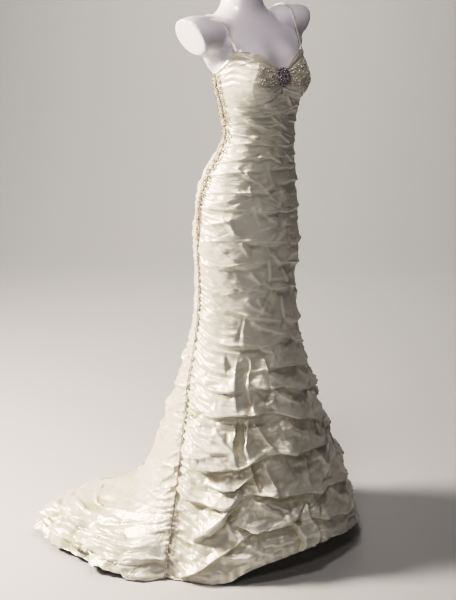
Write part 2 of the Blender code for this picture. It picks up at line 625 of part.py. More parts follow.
loft("stand_pole", [disc_ring(POLE_RADIUS, BASE_HEIGHT + 0.0004), disc_ring(POLE_RADIUS, FORM_BOTTOM - 0.0004)],
     (0.60, 0.60, 0.61), 0.3)
loft("stand_base", [disc_ring(BASE_RADIUS, 0.0), disc_ring(BASE_RADIUS, BASE_HEIGHT - 0.004),
                    disc_ring(BASE_RADIUS - 0.004, BASE_HEIGHT)], (0.60, 0.60, 0.61), 0.35)

# ---------------------------------------------------------------- straps, over the form's shoulders
skin = BVHTree.FromObject(torso, bpy.context.evaluated_depsgraph_get())
STRAP_ANGLE = {"right": 61.0, "left": 52.0}      # where each leaves its cup
STRAP_BACK = 146.0        # and where it meets the back panel
STRAP_PATH = (
    # x      y      z, guide points pulled onto the form
    (0.1130, -0.100, 1.470),
    (0.1270, -0.070, 1.500),
    (0.1330, -0.030, 1.530),
    (0.1330,  0.010, 1.535),
    (0.1290,  0.050, 1.520),
    (0.1180,  0.085, 1.470),
    (0.1020,  0.100, 1.410),
)
STRAP_STEPS = 40


def strap_foot(angle, over):
    """The strap's four end corners, cut along the neckline just above the cloth's edge."""
    turn = math.degrees(STRAP_WIDTH / 2 / 0.125)
    corners = []
    for d in (turn, -turn):
        a = np.array([angle + d])
        z = neckline(a) + 0.0008
        corners.append((surface(a, z)[0] - outward(a, z)[0] * 0.0002, surface(a, z)[0] - outward(a, z)[0] * 0.0016))
    if np.dot(corners[0][0] - corners[1][0], over) < 0:
        corners.reverse()
    (o1, i1), (o2, i2) = corners
    return [i1, o1, o2, i2]


for side, s in (("right", -1.0), ("left", 1.0)):
    feet = []
    for at in (STRAP_ANGLE[side], STRAP_BACK):
        a = np.array([s * at])
        feet.append(surface(a, neckline(a) + 0.0008)[0] - outward(a, neckline(a))[0] * 0.001)
    raised = LEFT_RAISED if s > 0 else 0.0
    guide = np.array([feet[0]] + [np.array([0.003 + s * x, y, z + raised * (z > 1.45)]) for x, y, z in STRAP_PATH] + [feet[1]])
    run = np.concatenate([[0], np.cumsum(np.linalg.norm(np.diff(guide, axis=0), axis=1))])
    t = np.linspace(0, run[-1], STRAP_STEPS)
    path = np.stack([smooth_rows(t, run, guide[:, k]) for k in range(3)], axis=-1)
    normals = np.zeros_like(path)
    for k in range(STRAP_STEPS):
        spot, normal, _, _ = skin.find_nearest(Vector(path[k]))
        normals[k] = normal
        pulled = np.array(spot) + np.array(normal) * 0.0018
        ease = min(1.0, k / 4.0, (STRAP_STEPS - 1 - k) / 4.0)
        path[k] = path[k] * (1 - ease) + pulled * ease
    for _ in range(4):
        normals[1:-1] = (normals[:-2] + 2 * normals[1:-1] + normals[2:]) / 4
        path[1:-1] = (path[:-2] + 6 * path[1:-1] + path[2:]) / 8
    normals /= np.linalg.norm(normals, axis=1, keepdims=True)
    along = np.gradient(path, axis=0)
    along /= np.linalg.norm(along, axis=1, keepdims=True)
    over = np.cross(along, normals)
    over /= np.linalg.norm(over, axis=1, keepdims=True)
    out = np.cross(over, along)
    out *= np.sign((out * normals).sum(axis=1, keepdims=True))
    sides = [path + over * STRAP_WIDTH / 2 + out * (STRAP_WALL * f) for f in (0, 1)]
    sides += [path - over * STRAP_WIDTH / 2 + out * (STRAP_WALL * f) for f in (1, 0)]
    sides = np.stack(sides, axis=1)
    sides[0] = strap_foot(s * STRAP_ANGLE[side], over[0])
    sides[-1] = strap_foot(s * STRAP_BACK, over[-1])
    loft(f"strap_{side}", sides, TAFFETA, 0.42)
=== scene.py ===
"""Looks for the ruched mermaid wedding dress on its white dress form.

Metres, +Z up, the wearer facing -Y. The cloth panels are grids laid over the dress's plain
sections, with the main folds placed from tables, then relaxed as gathered cloth.
"""

import math

import bmesh
import bpy
import numpy as np
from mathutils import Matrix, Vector
from mathutils.bvhtree import BVHTree


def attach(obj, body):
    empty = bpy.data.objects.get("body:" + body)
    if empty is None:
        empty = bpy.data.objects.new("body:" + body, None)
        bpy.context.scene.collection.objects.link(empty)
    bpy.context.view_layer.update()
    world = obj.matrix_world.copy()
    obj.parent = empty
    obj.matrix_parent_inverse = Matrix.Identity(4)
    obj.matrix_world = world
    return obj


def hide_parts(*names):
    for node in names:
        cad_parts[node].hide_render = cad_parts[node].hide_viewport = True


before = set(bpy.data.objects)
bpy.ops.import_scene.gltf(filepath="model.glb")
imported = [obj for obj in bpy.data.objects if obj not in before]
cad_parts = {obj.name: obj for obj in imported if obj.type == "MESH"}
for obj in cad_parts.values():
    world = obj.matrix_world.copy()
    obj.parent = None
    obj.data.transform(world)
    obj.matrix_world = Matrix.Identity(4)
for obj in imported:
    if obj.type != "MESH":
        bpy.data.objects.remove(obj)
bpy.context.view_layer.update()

# ---------------------------------------------------------------- the dress's plain sections
# Sections of the dress: nominal height, half width at the side seams, depth in front of and behind
# the centre, the centre's place, and how far the train takes the section out and up.
RINGS = (
    # name          z      side   front  back   cx      cy     t_out  t_up
    ("top",        1.460, 0.131, 0.104, 0.105, 0.008, -0.030, 0.000,  0.000),
    ("armpit",     1.390, 0.135, 0.106, 0.107, 0.009, -0.034, 0.000,  0.000),
    ("bust",       1.340, 0.131, 0.104, 0.107, 0.010, -0.036, 0.000,  0.000),
    ("under_bust", 1.290, 0.119, 0.097, 0.099, 0.010, -0.038, 0.000,  0.000),
    ("waist",      1.215, 0.107, 0.086, 0.087, 0.011, -0.039, 0.000,  0.000),
    ("belly",      1.160, 0.115, 0.090, 0.097, 0.009, -0.031, 0.000,  0.000),
    ("high_hip",   1.100, 0.136, 0.107, 0.115, 0.005, -0.013, 0.000,  0.000),
    ("hip",        1.000, 0.153, 0.123, 0.132, 0.001, -0.001, 0.000,  0.000),
    ("seat",       0.900, 0.157, 0.130, 0.135, 0.000,  0.000, 0.000,  0.000),
    ("thigh",      0.800, 0.150, 0.130, 0.131, 0.000,  0.002, 0.000,  0.000),
    ("knee",       0.700, 0.154, 0.139, 0.137, 0.000,  0.003, 0.000,  0.000),
    ("calf",       0.600, 0.167, 0.155, 0.154, 0.000,  0.004, 0.000,  0.000),
    ("flare",      0.500, 0.194, 0.180, 0.182, 0.000,  0.004, 0.002,  0.000),
    ("shin",       0.400, 0.222, 0.204, 0.212, 0.000,  0.004, 0.008, -0.004),
    ("low_shin",   0.300, 0.252, 0.234, 0.240, 0.000,  0.003, 0.020, -0.018),
    ("ankle",      0.200, 0.284, 0.264, 0.266, 0.000,  0.002, 0.050, -0.030),
    ("low_ankle",  0.120, 0.311, 0.290, 0.288, 0.000,  0.000, 0.140,  0.000),
    ("floor",      0.055, 0.340, 0.308, 0.305, 0.000,  0.000, 0.235,  0.045),
    ("edge",       0.020, 0.349, 0.312, 0.310, 0.000,  0.000, 0.285,  0.034),
    ("hem",        0.000, 0.352, 0.314, 0.312, 0.000,  0.000, 0.300,  0.000),
)

RING = np.array([r[1:] for r in RINGS], float)[::-1]      # rising height

# How much of the train shows in each direction, by true angle from the centre front.
TRAIN = (
    # angle    share
    (-235.0, 0.00), (-210.0, 0.05), (-195.0, 0.15), (-180.0, 0.30), (-165.0, 0.50),
    (-150.0, 0.75), (-138.0, 0.95), (-130.0, 1.00), (-123.0, 0.88), (-116.0, 0.74),
    (-110.0, 0.62), (-100.0, 0.46), (-92.0, 0.35), (-86.0, 0.24), (-78.0, 0.04), (-70.0, 0.00),
)

# The side seams stand this far behind the widest point, in degrees, by height.
SEAM_SHIFT = (
    # z      degrees
    (0.000, -12.0), (0.160, -8.0), (0.300, -4.0), (0.430, 1.0), (0.585, 8.0), (0.800, 8.0),
    (1.000, 8.0), (1.215, 7.0), (1.460, 8.0),
)
# The neckline: angle from the centre front, and height of the edge there.
NECKLINE = (
    # angle   z
    (0.0,   1.390),
    (8.0,   1.393),
    (18.0,  1.409),
    (34.0,  1.427),
    (48.0,  1.433),
    (61.0,  1.429),
    (76.0,  1.401),
    (90.0,  1.376),
    (120.0, 1.352),
    (180.0, 1.336),
)
# The seam under the cups.
CUP_SEAM = (
    (0.0,   1.326),
    (20.0,  1.305),
    (45.0,  1.289),
    (70.0,  1.288),
    (90.0,  1.294),
)
# How far the hem clears the floor, by true angle.
HEM_LIFT = (
    (-180.0, 0.002), (-90.0, 0.002), (-62.0, 0.004), (-50.0, 0.014), (-40.0, 0.044),
    (-28.0, 0.065), (-10.0, 0.081), (6.0, 0.084), (25.0, 0.070), (45.0, 0.054), (80.0, 0.040),
    (115.0, 0.020), (150.0, 0.006), (180.0, 0.002),
)
# The bodice is turned a little toward the wearer's right: its centre front in degrees.
CENTRE_FRONT = -5.0
# Each cup's fullness: angle and height of its middle, spread round and up, and how far out.
CUP = {"angle": 36.0, "z": 1.352, "spread_deg": 25.0, "spread_up": 0.052,
       "spread_down": 0.040, "out": 0.028}


def steps(x, table):
    """A smooth curve through a table's rows that doesn't overshoot between them."""
    xs = np.array([r[0] for r in table], float)
    ys = np.array([r[1] for r in table], float)
    return smooth_rows(x, xs, ys)


def smooth_rows(x, xs, ys):
    h = np.diff(xs)
    d = np.diff(ys) / h
    m = np.zeros(len(xs))
    for k in range(1, len(xs) - 1):
        if d[k - 1] * d[k] > 0:
            w1, w2 = 2 * h[k] + h[k - 1], h[k] + 2 * h[k - 1]
            m[k] = (w1 + w2) / (w1 / d[k - 1] + w2 / d[k])
    m[0], m[-1] = d[0], d[-1]
    x = np.clip(np.asarray(x, float), xs[0], xs[-1])
    k = np.clip(np.searchsorted(xs, x, side="right") - 1, 0, len(h) - 1)
    t = (x - xs[k]) / h[k]
    return ((1 + 2 * t) * (1 - t) ** 2 * ys[k] + t * (1 - t) ** 2 * h[k] * m[k]
            + t * t * (3 - 2 * t) * ys[k + 1] + t * t * (t - 1) * h[k] * m[k + 1])


def wrapped(angle):
    return (np.asarray(angle, float) + 180.0) % 360.0 - 180.0


def train(angle):
    """1 where the train points, falling to 0 at its two sides."""
    angle = wrapped(angle)
    return np.clip(steps(np.where(angle > 120, angle - 360, angle), TRAIN), 0, 1)


def bell(x, lo, hi):
    return np.exp(-np.where(x < 0, (x / lo) ** 2, (x / hi) ** 2))


def from_centre(angle):
    """Degrees from the bodice's own centre front, the same as the angle at the sides and back."""
    a = wrapped(angle)
    return np.abs(a - CENTRE_FRONT * np.clip(np.cos(np.radians(a)), 0, 1))


def cups(angle, z):
    a = from_centre(angle)
    return CUP["out"] * np.exp(-((a - CUP["angle"]) / CUP["spread_deg"]) ** 2) * bell(
        np.asarray(z, float) - CUP["z"], CUP["spread_down"], CUP["spread_up"])


def seam_turn(angle, z):
    """The true direction of a nominal angle, whose +-90 follows the side seams."""
    angle = wrapped(angle)
    share = np.where(np.abs(angle) < 90, np.abs(angle) / 90, (180 - np.abs(angle)) / 90)
    return angle + np.sign(angle) * share * steps(z, SEAM_SHIFT)


def ring(angle, z):
    """Plan radius and centre of the plain section at a height, before any fold."""
    side, front, back, cx, cy, out, up = [smooth_rows(z, RING[:, 0], RING[:, k]) for k in range(1, 8)]
    rad = np.radians(angle)
    depth = np.where(np.cos(rad) > 0, front, back)
    r = 1.0 / np.sqrt((np.sin(rad) / side) ** 2 + (np.cos(rad) / depth) ** 2)
    return r + cups(angle, z), cx, cy, out, up


def neckline(angle):
    return steps(from_centre(angle), NECKLINE)


def cup_seam(angle):
    return steps(from_centre(angle), CUP_SEAM)


def plain(angle, z, lift=0.0):
    """A point on the dress with no folds."""
    angle, z = np.broadcast_arrays(np.asarray(angle, float), np.asarray(z, float))
    turned = seam_turn(angle, z)
    r, cx, cy, out, up = ring(turned, z)
    t = train(turned)
    r = r + out * t + lift
    rad = np.radians(turned)
    low = np.clip(1 - z / 0.30, 0, 1) ** 2
    high = z + up * t + steps(wrapped(turned), HEM_LIFT) * low
    return np.stack([cx + r * np.sin(rad), cy - r * np.cos(rad), high], axis=-1)


def facing(angle, z, e=0.003):
    """Outward directions of the plain section surface."""
    ta = plain(angle + 0.5, z) - plain(angle - 0.5, z)
    tz = plain(angle, z + e) - plain(angle, z - e)
    n = np.cross(ta, tz)
    return n / np.linalg.norm(n, axis=-1, keepdims=True)


class Body:
    """What the cloth lies on: the plain sections as a smooth field of distance."""

    def __init__(self):
        self.th = np.linspace(-180, 180, 241)
        self.zs = np.linspace(-0.02, 1.48, 376)
        zn = np.linspace(0, 1.46, 600)
        rr = np.zeros((len(self.zs), len(self.th)))
        for j, th in enumerate(self.th):
            r, cx, cy, out, up = ring(np.full(zn.shape, th), zn)
            t = train(np.array([th]))[0]
            z = zn + up * t
            z = np.maximum.accumulate(z + np.arange(len(z)) * 1e-7)
            rr[:, j] = np.interp(self.zs, z, r + out * t)
        self.rr = rr
        self.dz = np.gradient(rr, self.zs, axis=0)
        self.dt = np.gradient(rr, np.radians(self.th), axis=1)
        self.cx = smooth_rows(self.zs, RING[:, 0], RING[:, 4])
        self.cy = smooth_rows(self.zs, RING[:, 0], RING[:, 5])

    def look(self, p):
        """Distance out from the plain surface, and the direction that leads out."""
        z = p[..., 2]
        fz = np.clip((z - self.zs[0]) / (self.zs[1] - self.zs[0]), 0, len(self.zs) - 1.001)
        cx = np.interp(z, self.zs, self.cx)
        cy = np.interp(z, self.zs, self.cy)
        dx, dy = p[..., 0] - cx, p[..., 1] - cy
        r = np.sqrt(dx * dx + dy * dy) + 1e-9
        th = np.degrees(np.arctan2(dx, -dy))
        ft = np.clip((th + 180) / (self.th[1] - self.th[0]), 0, len(self.th) - 1.001)
        i, j = fz.astype(int), ft.astype(int)
        u, v = fz - i, ft - j
        w = ((1 - u) * (1 - v), (1 - u) * v, u * (1 - v), u * v)

        def get(table):
            return w[0] * table[i, j] + w[1] * table[i, j + 1] + w[2] * table[i + 1, j] + w[3] * table[i + 1, j + 1]

        rr, dz, dt = get(self.rr), get(self.dz), get(self.dt)
        er = np.stack([dx / r, dy / r], -1)
        et = np.stack([-er[..., 1], er[..., 0]], -1)
        gt = -dt / r
        n = np.concatenate([er + gt[..., None] * et, -dz[..., None]], axis=-1)
        size = np.sqrt((n * n).sum(-1))
        return (r - rr) / size, n / size[..., None]


def noise(shape, cells, seed, octaves=1):
    """Smooth random values over a grid, from seeded lattices; cells are counts down and across."""
    out = np.zeros(shape)
    gain = 1.0
    for k in range(octaves):
        cy, cx = max(2, int(cells[0] * 2 ** k)), max(2, int(cells[1] * 2 ** k))
        lattice = np.random.RandomState(seed + 97 * k).uniform(-1, 1, (cy + 3, cx + 3))
        y = np.linspace(0, cy, shape[0])
        x = np.linspace(0, cx, shape[1])

        def weights(t):
            i = np.minimum(t.astype(int), int(t[-1]) - 1 if t[-1] >= 1 else 0)
            f = t - i
            return i, np.stack([(1 - f) ** 3 / 6, (3 * f ** 3 - 6 * f ** 2 + 4) / 6,
                                (-3 * f ** 3 + 3 * f ** 2 + 3 * f + 1) / 6, f ** 3 / 6])

        iy, wy = weights(y)
        ix, wx = weights(x)
        rows = sum(wy[a][:, None] * lattice[iy + a][:, :] for a in range(4))
        out += gain * 2.2 * sum(wx[a][None, :] * rows[:, ix + a] for a in range(4))
        gain *= 0.5
    return out


# The folds of the ruched front that show most, each a ledge: cloth bulges over the line and tucks
# in under it. Points are nominal angle and height along the line; out and soft are the ledge's
# depth and the height over which the bulge above it fades.
FRONT_LEDGES = (
    # out     soft   points
    (0.0022, 0.010, ((-88, 1.272), (-50, 1.262), (-10, 1.270), (30, 1.284), (60, 1.276), (88, 1.268))),
    (0.0024, 0.010, ((-86, 1.236), (-55, 1.246), (-20, 1.236), (10, 1.248), (45, 1.236), (88, 1.240))),
    (0.0024, 0.011, ((-88, 1.214), (-40, 1.206), (0, 1.214), (40, 1.196), (88, 1.206))),
    (0.0026, 0.012, ((-88, 1.176), (-52, 1.190), (-15, 1.186), (25, 1.176), (60, 1.184), (88, 1.172))),
    (0.0034, 0.014, ((-88, 1.130), (-60, 1.146), (-25, 1.152), (10, 1.150), (50, 1.142), (88, 1.138))),
    (0.0044, 0.016, ((-88, 1.098), (-60, 1.112), (-30, 1.116), (0, 1.120), (40, 1.112), (88, 1.104))),
    (0.0060, 0.020, ((-88, 1.052), (-62, 1.058), (-30, 1.058), (-12, 1.064), (20, 1.078), (60, 1.066), (88, 1.060))),
    (0.0066, 0.022, ((-88, 1.012), (-60, 1.013), (-45, 1.014), (-10, 1.006), (30, 0.994), (60, 0.996), (88, 1.004))),
    (0.0044, 0.014, ((-88, 0.960), (-60, 0.980), (-52, 0.984))),
    (0.0078, 0.024, ((-88, 0.914), (-70, 0.925), (-45, 0.930), (0, 0.918), (45, 0.897), (70, 0.900), (88, 0.915))),
    (0.0056, 0.018, ((12, 0.962), (34, 0.952), (60, 0.958), (88, 0.972))),
    (0.0078, 0.024, ((-88, 0.857), (-60, 0.856), (-45, 0.863), (-15, 0.870), (20, 0.850), (60, 0.832), (88, 0.846))),
    (0.0066, 0.022, ((-88, 0.790), (-72, 0.780), (-58, 0.775), (-38, 0.780), (-26, 0.802))),
    (0.0090, 0.026, ((-24, 0.796), (-5, 0.788), (25, 0.780), (48, 0.768), (88, 0.790))),
    (0.0070, 0.020, ((-80, 0.782), (-62, 0.740), (-38, 0.720), (0, 0.697), (45, 0.668), (88, 0.690))),
    (0.0060, 0.020, ((-88, 0.704), (-70, 0.676), (-55, 0.666), (-42, 0.672))),
    (0.0100, 0.028, ((-58, 0.640), (-40, 0.635), (-12, 0.634), (8, 0.648), (25, 0.626), (45, 0.602), (88, 0.628))),
    (0.0080, 0.024, ((-88, 0.600), (-66, 0.566), (-48, 0.556))),
    (0.0110, 0.028, ((-32, 0.566), (0, 0.572), (30, 0.548), (48, 0.530), (88, 0.560))),
    (0.0100, 0.026, ((-88, 0.540), (-62, 0.514), (-42, 0.520))),
    (0.0120, 0.030, ((-32, 0.524), (-8, 0.520), (18, 0.494), (34, 0.480), (60, 0.478), (88, 0.500))),
    (0.0180, 0.040, ((-88, 0.480), (-70, 0.455), (-47, 0.456), (-37, 0.458), (-15, 0.450), (10, 0.424), (26, 0.404), (42, 0.404), (54, 0.424), (88, 0.440))),
    (0.0090, 0.022, ((-88, 0.400), (-74, 0.366), (-60, 0.352), (-50, 0.356))),
    (0.0220, 0.046, ((-88, 0.336), (-66, 0.310), (-50, 0.313), (-30, 0.338), (-13, 0.348), (8, 0.336), (35, 0.336), (60, 0.350), (88, 0.366))),
    (0.0110, 0.026, ((-84, 0.300), (-66, 0.262), (-52, 0.262), (-40, 0.286), (-34, 0.300))),
    (0.0230, 0.044, ((-88, 0.236), (-78, 0.215), (-57, 0.214), (-45, 0.234), (-28, 0.243), (-5, 0.226), (15, 0.202), (34, 0.200), (60, 0.222), (88, 0.250))),
    (0.0220, 0.050, ((-76, 0.112), (-64, 0.150), (-54, 0.196), (-47, 0.226))),
    (0.0140, 0.032, ((-52, 0.158), (-40, 0.138), (-28, 0.130), (-16, 0.142), (-4, 0.184))),
    (0.0160, 0.040, ((-82, 0.012), (-68, 0.050), (-54, 0.094), (-38, 0.134), (-30, 0.140))),
    (0.0150, 0.032, ((0, 0.126), (12, 0.110), (34, 0.088), (56, 0.090), (88, 0.120))),
)
# Upright tucks where the cloth is caught up: angle, the heights they run between, depth, and
# half width in degrees. The sign of the depth says which side of the line stands proud.
FRONT_TUCKS = (
    # angle  z_top  z_low   depth    width
    (-35.5, 0.604, 0.462, 0.0060, 5.0),
    (-55.0, 0.610, 0.560, -0.0040, 4.5),
    (-47.0, 0.440, 0.322, -0.0120, 5.0),
    (-42.5, 0.436, 0.330, 0.0090, 3.5),
    (-36.0, 0.335, 0.246, -0.0130, 5.5),
    (6.0, 0.330, 0.130, -0.0080, 5.0),
    (-13.0, 0.128, 0.000, 0.0120, 4.0),
    (-1.0, 0.190, 0.000, -0.0150, 4.5),
    (30.0, 0.400, 0.340, 0.0070, 5.0),
    (-12.0, 0.880, 0.800, 0.0020, 5.0),
    (8.0, 0.780, 0.680, 0.0032, 5.0),
    (26.0, 0.775, 0.680, -0.0030, 5.0),
    (-40.0, 0.730, 0.640, 0.0036, 5.0),
    (60.0, 0.520, 0.430, 0.0070, 5.0),
    (66.0, 0.340, 0.220, 0.0080, 5.0),
)
# Slanting sharp creases: start and end as angle and height, height of the crease, half width.
FRONT_CREASES = (
    # a0     z0     a1    z1     out     half
    (-46.0, 0.606, -47.5, 0.452, 0.0062, 0.0110),
    (-38.0, 0.440, -44.0, 0.330, 0.0070, 0.0080),
    (-20.0, 0.600, -18.0, 0.560, 0.0050, 0.0070),
    (-30.0, 0.330, -24.0, 0.246, 0.0080, 0.0100),
    (-10.0, 1.336, -44.0, 1.298, 0.0026, 0.0040),
    (-14.0, 1.322, -30.0, 1.286, 0.0022, 0.0040),
    (0.0, 1.332, 34.0, 1.296, 0.0026, 0.0040),
    (4.0, 1.318, 22.0, 1.276, 0.0022, 0.0040),
    (-72.0, 1.290, -40.0, 1.244, 0.0020, 0.0040),
    (-60.0, 1.256, -22.0, 1.226, 0.0020, 0.0040),
    (-20.0, 1.262, 16.0, 1.222, 0.0022, 0.0042),
    (-50.0, 1.206, -14.0, 1.184, 0.0020, 0.0040),
    (-8.0, 1.220, 28.0, 1.180, 0.0022, 0.0042),
    (-66.0, 1.172, -30.0, 1.146, 0.0022, 0.0042),
    (-24.0, 1.168, 10.0, 1.128, 0.0024, 0.0045),
    (14.0, 1.160, 40.0, 1.124, 0.0024, 0.0045),
    (-62.0, 1.132, -36.0, 1.092, 0.0026, 0.0050),
    (-48.0, 1.118, -28.0, 1.082, 0.0030, 0.0050),
    (-34.0, 1.100, -8.0, 1.048, 0.0034, 0.0050),
    (-18.0, 1.062, 12.0, 1.006, 0.0036, 0.0055),
    (6.0, 1.060, 18.0, 1.030, 0.0030, 0.0050),
    (-38.0, 1.080, -34.0, 1.040, 0.0034, 0.0045),
    (-68.0, 1.048, -44.0, 1.012, 0.0030, 0.0060),
    (-64.0, 0.998, -42.0, 0.934, 0.0046, 0.0080),
    (-56.0, 0.994, -48.0, 0.936, 0.0040, 0.0060),
    (-18.0, 1.000, 2.0, 0.966, 0.0030, 0.0055),
    (-24.0, 0.952, 6.0, 0.966, 0.0028, 0.0055),
    (10.0, 0.950, 22.0, 0.990, 0.0030, 0.0055),
    (-44.0, 0.928, -34.0, 0.884, 0.0036, 0.0060),
    (-34.0, 0.846, -20.0, 0.800, 0.0042, 0.0060),
    (-8.0, 0.890, 8.0, 0.848, 0.0042, 0.0060),
    (6.0, 0.850, 22.0, 0.792, 0.0044, 0.0065),
    (-70.0, 0.920, -46.0, 0.868, 0.0032, 0.0060),
    (-80.0, 0.860, -50.0, 0.828, 0.0032, 0.0065),
    (-82.0, 0.840, -56.0, 0.806, 0.0032, 0.0065),
    (-40.0, 0.760, -6.0, 0.712, 0.0038, 0.0070),
    (-26.0, 0.768, -16.0, 0.724, 0.0040, 0.0070),
    (-34.0, 0.700, 14.0, 0.648, 0.0046, 0.0080),
    (14.0, 0.700, 30.0, 0.640, 0.0046, 0.0070),
    (-22.0, 0.560, 22.0, 0.482, 0.0070, 0.0100),
    (-18.0, 0.518, 12.0, 0.452, 0.0072, 0.0100),
    (14.0, 0.560, 34.0, 0.500, 0.0060, 0.0090),
    (-66.0, 0.420, -44.0, 0.330, 0.0066, 0.0100),
    (-34.0, 0.430, -20.0, 0.346, 0.0070, 0.0110),
    (-10.0, 0.410, 14.0, 0.362, 0.0060, 0.0100),
    (16.0, 0.330, 30.0, 0.230, 0.0080, 0.0110),
    (34.0, 0.340, 22.0, 0.230, 0.0070, 0.0100),
    (-40.0, 0.226, -22.0, 0.160, 0.0080, 0.0110),
    (-34.0, 0.226, -16.0, 0.172, 0.0060, 0.0090),
    (-58.0, 0.180, -46.0, 0.090, 0.0080, 0.0110),
    (-66.0, 0.090, -40.0, 0.040, 0.0080, 0.0120),
    (24.0, 0.190, 40.0, 0.110, 0.0080, 0.0110),
    (50.0, 0.190, 36.0, 0.110, 0.0070, 0.0100),
    (46.0, 0.760, 66.0, 0.700, 0.0044, 0.0080),
    (52.0, 0.900, 74.0, 0.850, 0.0040, 0.0070),
    (56.0, 0.620, 74.0, 0.560, 0.0060, 0.0090),
)
BACK_LEDGES = (
    # out    soft   points; the right half's own angles, mirrored with a shift for the left half
    (0.0022, 0.010, ((-92, 1.262), (-120, 1.256), (-150, 1.262), (-178, 1.256))),
    (0.0024, 0.011, ((-92, 1.222), (-125, 1.212), (-160, 1.220), (-178, 1.214))),
    (0.0026, 0.012, ((-92, 1.180), (-130, 1.170), (-178, 1.174))),
    (0.0040, 0.015, ((-92, 1.132), (-120, 1.124), (-155, 1.130), (-178, 1.122))),
    (0.0050, 0.018, ((-92, 1.086), (-130, 1.074), (-178, 1.078))),
    (0.0066, 0.022, ((-92, 1.036), (-115, 1.028), (-150, 1.034), (-178, 1.022))),
    (0.0072, 0.024, ((-92, 0.984), (-120, 0.970), (-178, 0.972))),
    (0.0080, 0.024, ((-92, 0.930), (-112, 0.922), (-145, 0.910), (-178, 0.916))),
    (0.0084, 0.024, ((-92, 0.872), (-120, 0.860), (-178, 0.850))),
    (0.0088, 0.026, ((-92, 0.812), (-110, 0.806), (-150, 0.792), (-178, 0.796))),
    (0.0094, 0.026, ((-92, 0.752), (-120, 0.736), (-178, 0.734))),
    (0.0100, 0.028, ((-92, 0.690), (-108, 0.684), (-140, 0.668), (-178, 0.664))),
    (0.0110, 0.030, ((-92, 0.628), (-120, 0.610), (-178, 0.600))),
    (0.0130, 0.032, ((-92, 0.566), (-106, 0.560), (-140, 0.540), (-178, 0.536))),
    (0.0150, 0.034, ((-92, 0.504), (-112, 0.494), (-150, 0.470), (-178, 0.466))),
    (0.0190, 0.038, ((-92, 0.440), (-106, 0.426), (-130, 0.408), (-178, 0.396))),
    (0.0190, 0.040, ((-92, 0.376), (-110, 0.356), (-140, 0.336), (-178, 0.326))),
    (0.0180, 0.038, ((-92, 0.310), (-112, 0.294), (-146, 0.266), (-178, 0.258))),
    (0.0150, 0.034, ((-92, 0.250), (-116, 0.232), (-150, 0.206), (-178, 0.196))),
    (0.0150, 0.030, ((-92, 0.186), (-110, 0.170), (-132, 0.150), (-178, 0.140))),
    (0.0130, 0.026, ((-92, 0.122), (-108, 0.104), (-140, 0.096), (-178, 0.092))),
    (0.0130, 0.020, ((-92, 0.060), (-114, 0.050), (-150, 0.046), (-178, 0.050))),
)


def puff(s, soft):
    """A round roll of cloth with no lip, for folds that are gathered rather than lapped."""
    return np.where(s > 0, np.exp(-(s / (1.15 * soft)) ** 2), 1.30 * np.exp(-(np.clip(s, -9, 0) / (0.62 * soft)) ** 2) - 0.30)


def ledge(s, soft, drop, lap):
    """A bulge above the line with a pinched lip. With lap 1 it drops sharply to a tuck under the
    line, and with lap 0 it is a ridge that falls away below too."""
    up = np.exp(-np.clip(s, 0, None) / soft) + (0.28 + 0.25 * (1 - lap)) * np.exp(-((s - 0.3 * drop) / (0.0020 + 0.08 * soft)) ** 2)
    below = np.clip(s, None, 0)
    down = (1 - lap) * 0.70 * np.exp(below / (0.32 * soft)) - lap * 0.42 * np.exp(below / (soft * 0.45)) \
        - (1 - lap) * 0.16 * np.exp(-((s + 0.5 * soft) / (0.25 * soft)) ** 2)
    t = np.clip(s / drop + 0.5, 0, 1)
    t = t * t * (3 - 2 * t)
    return up * t + down * (1 - t)


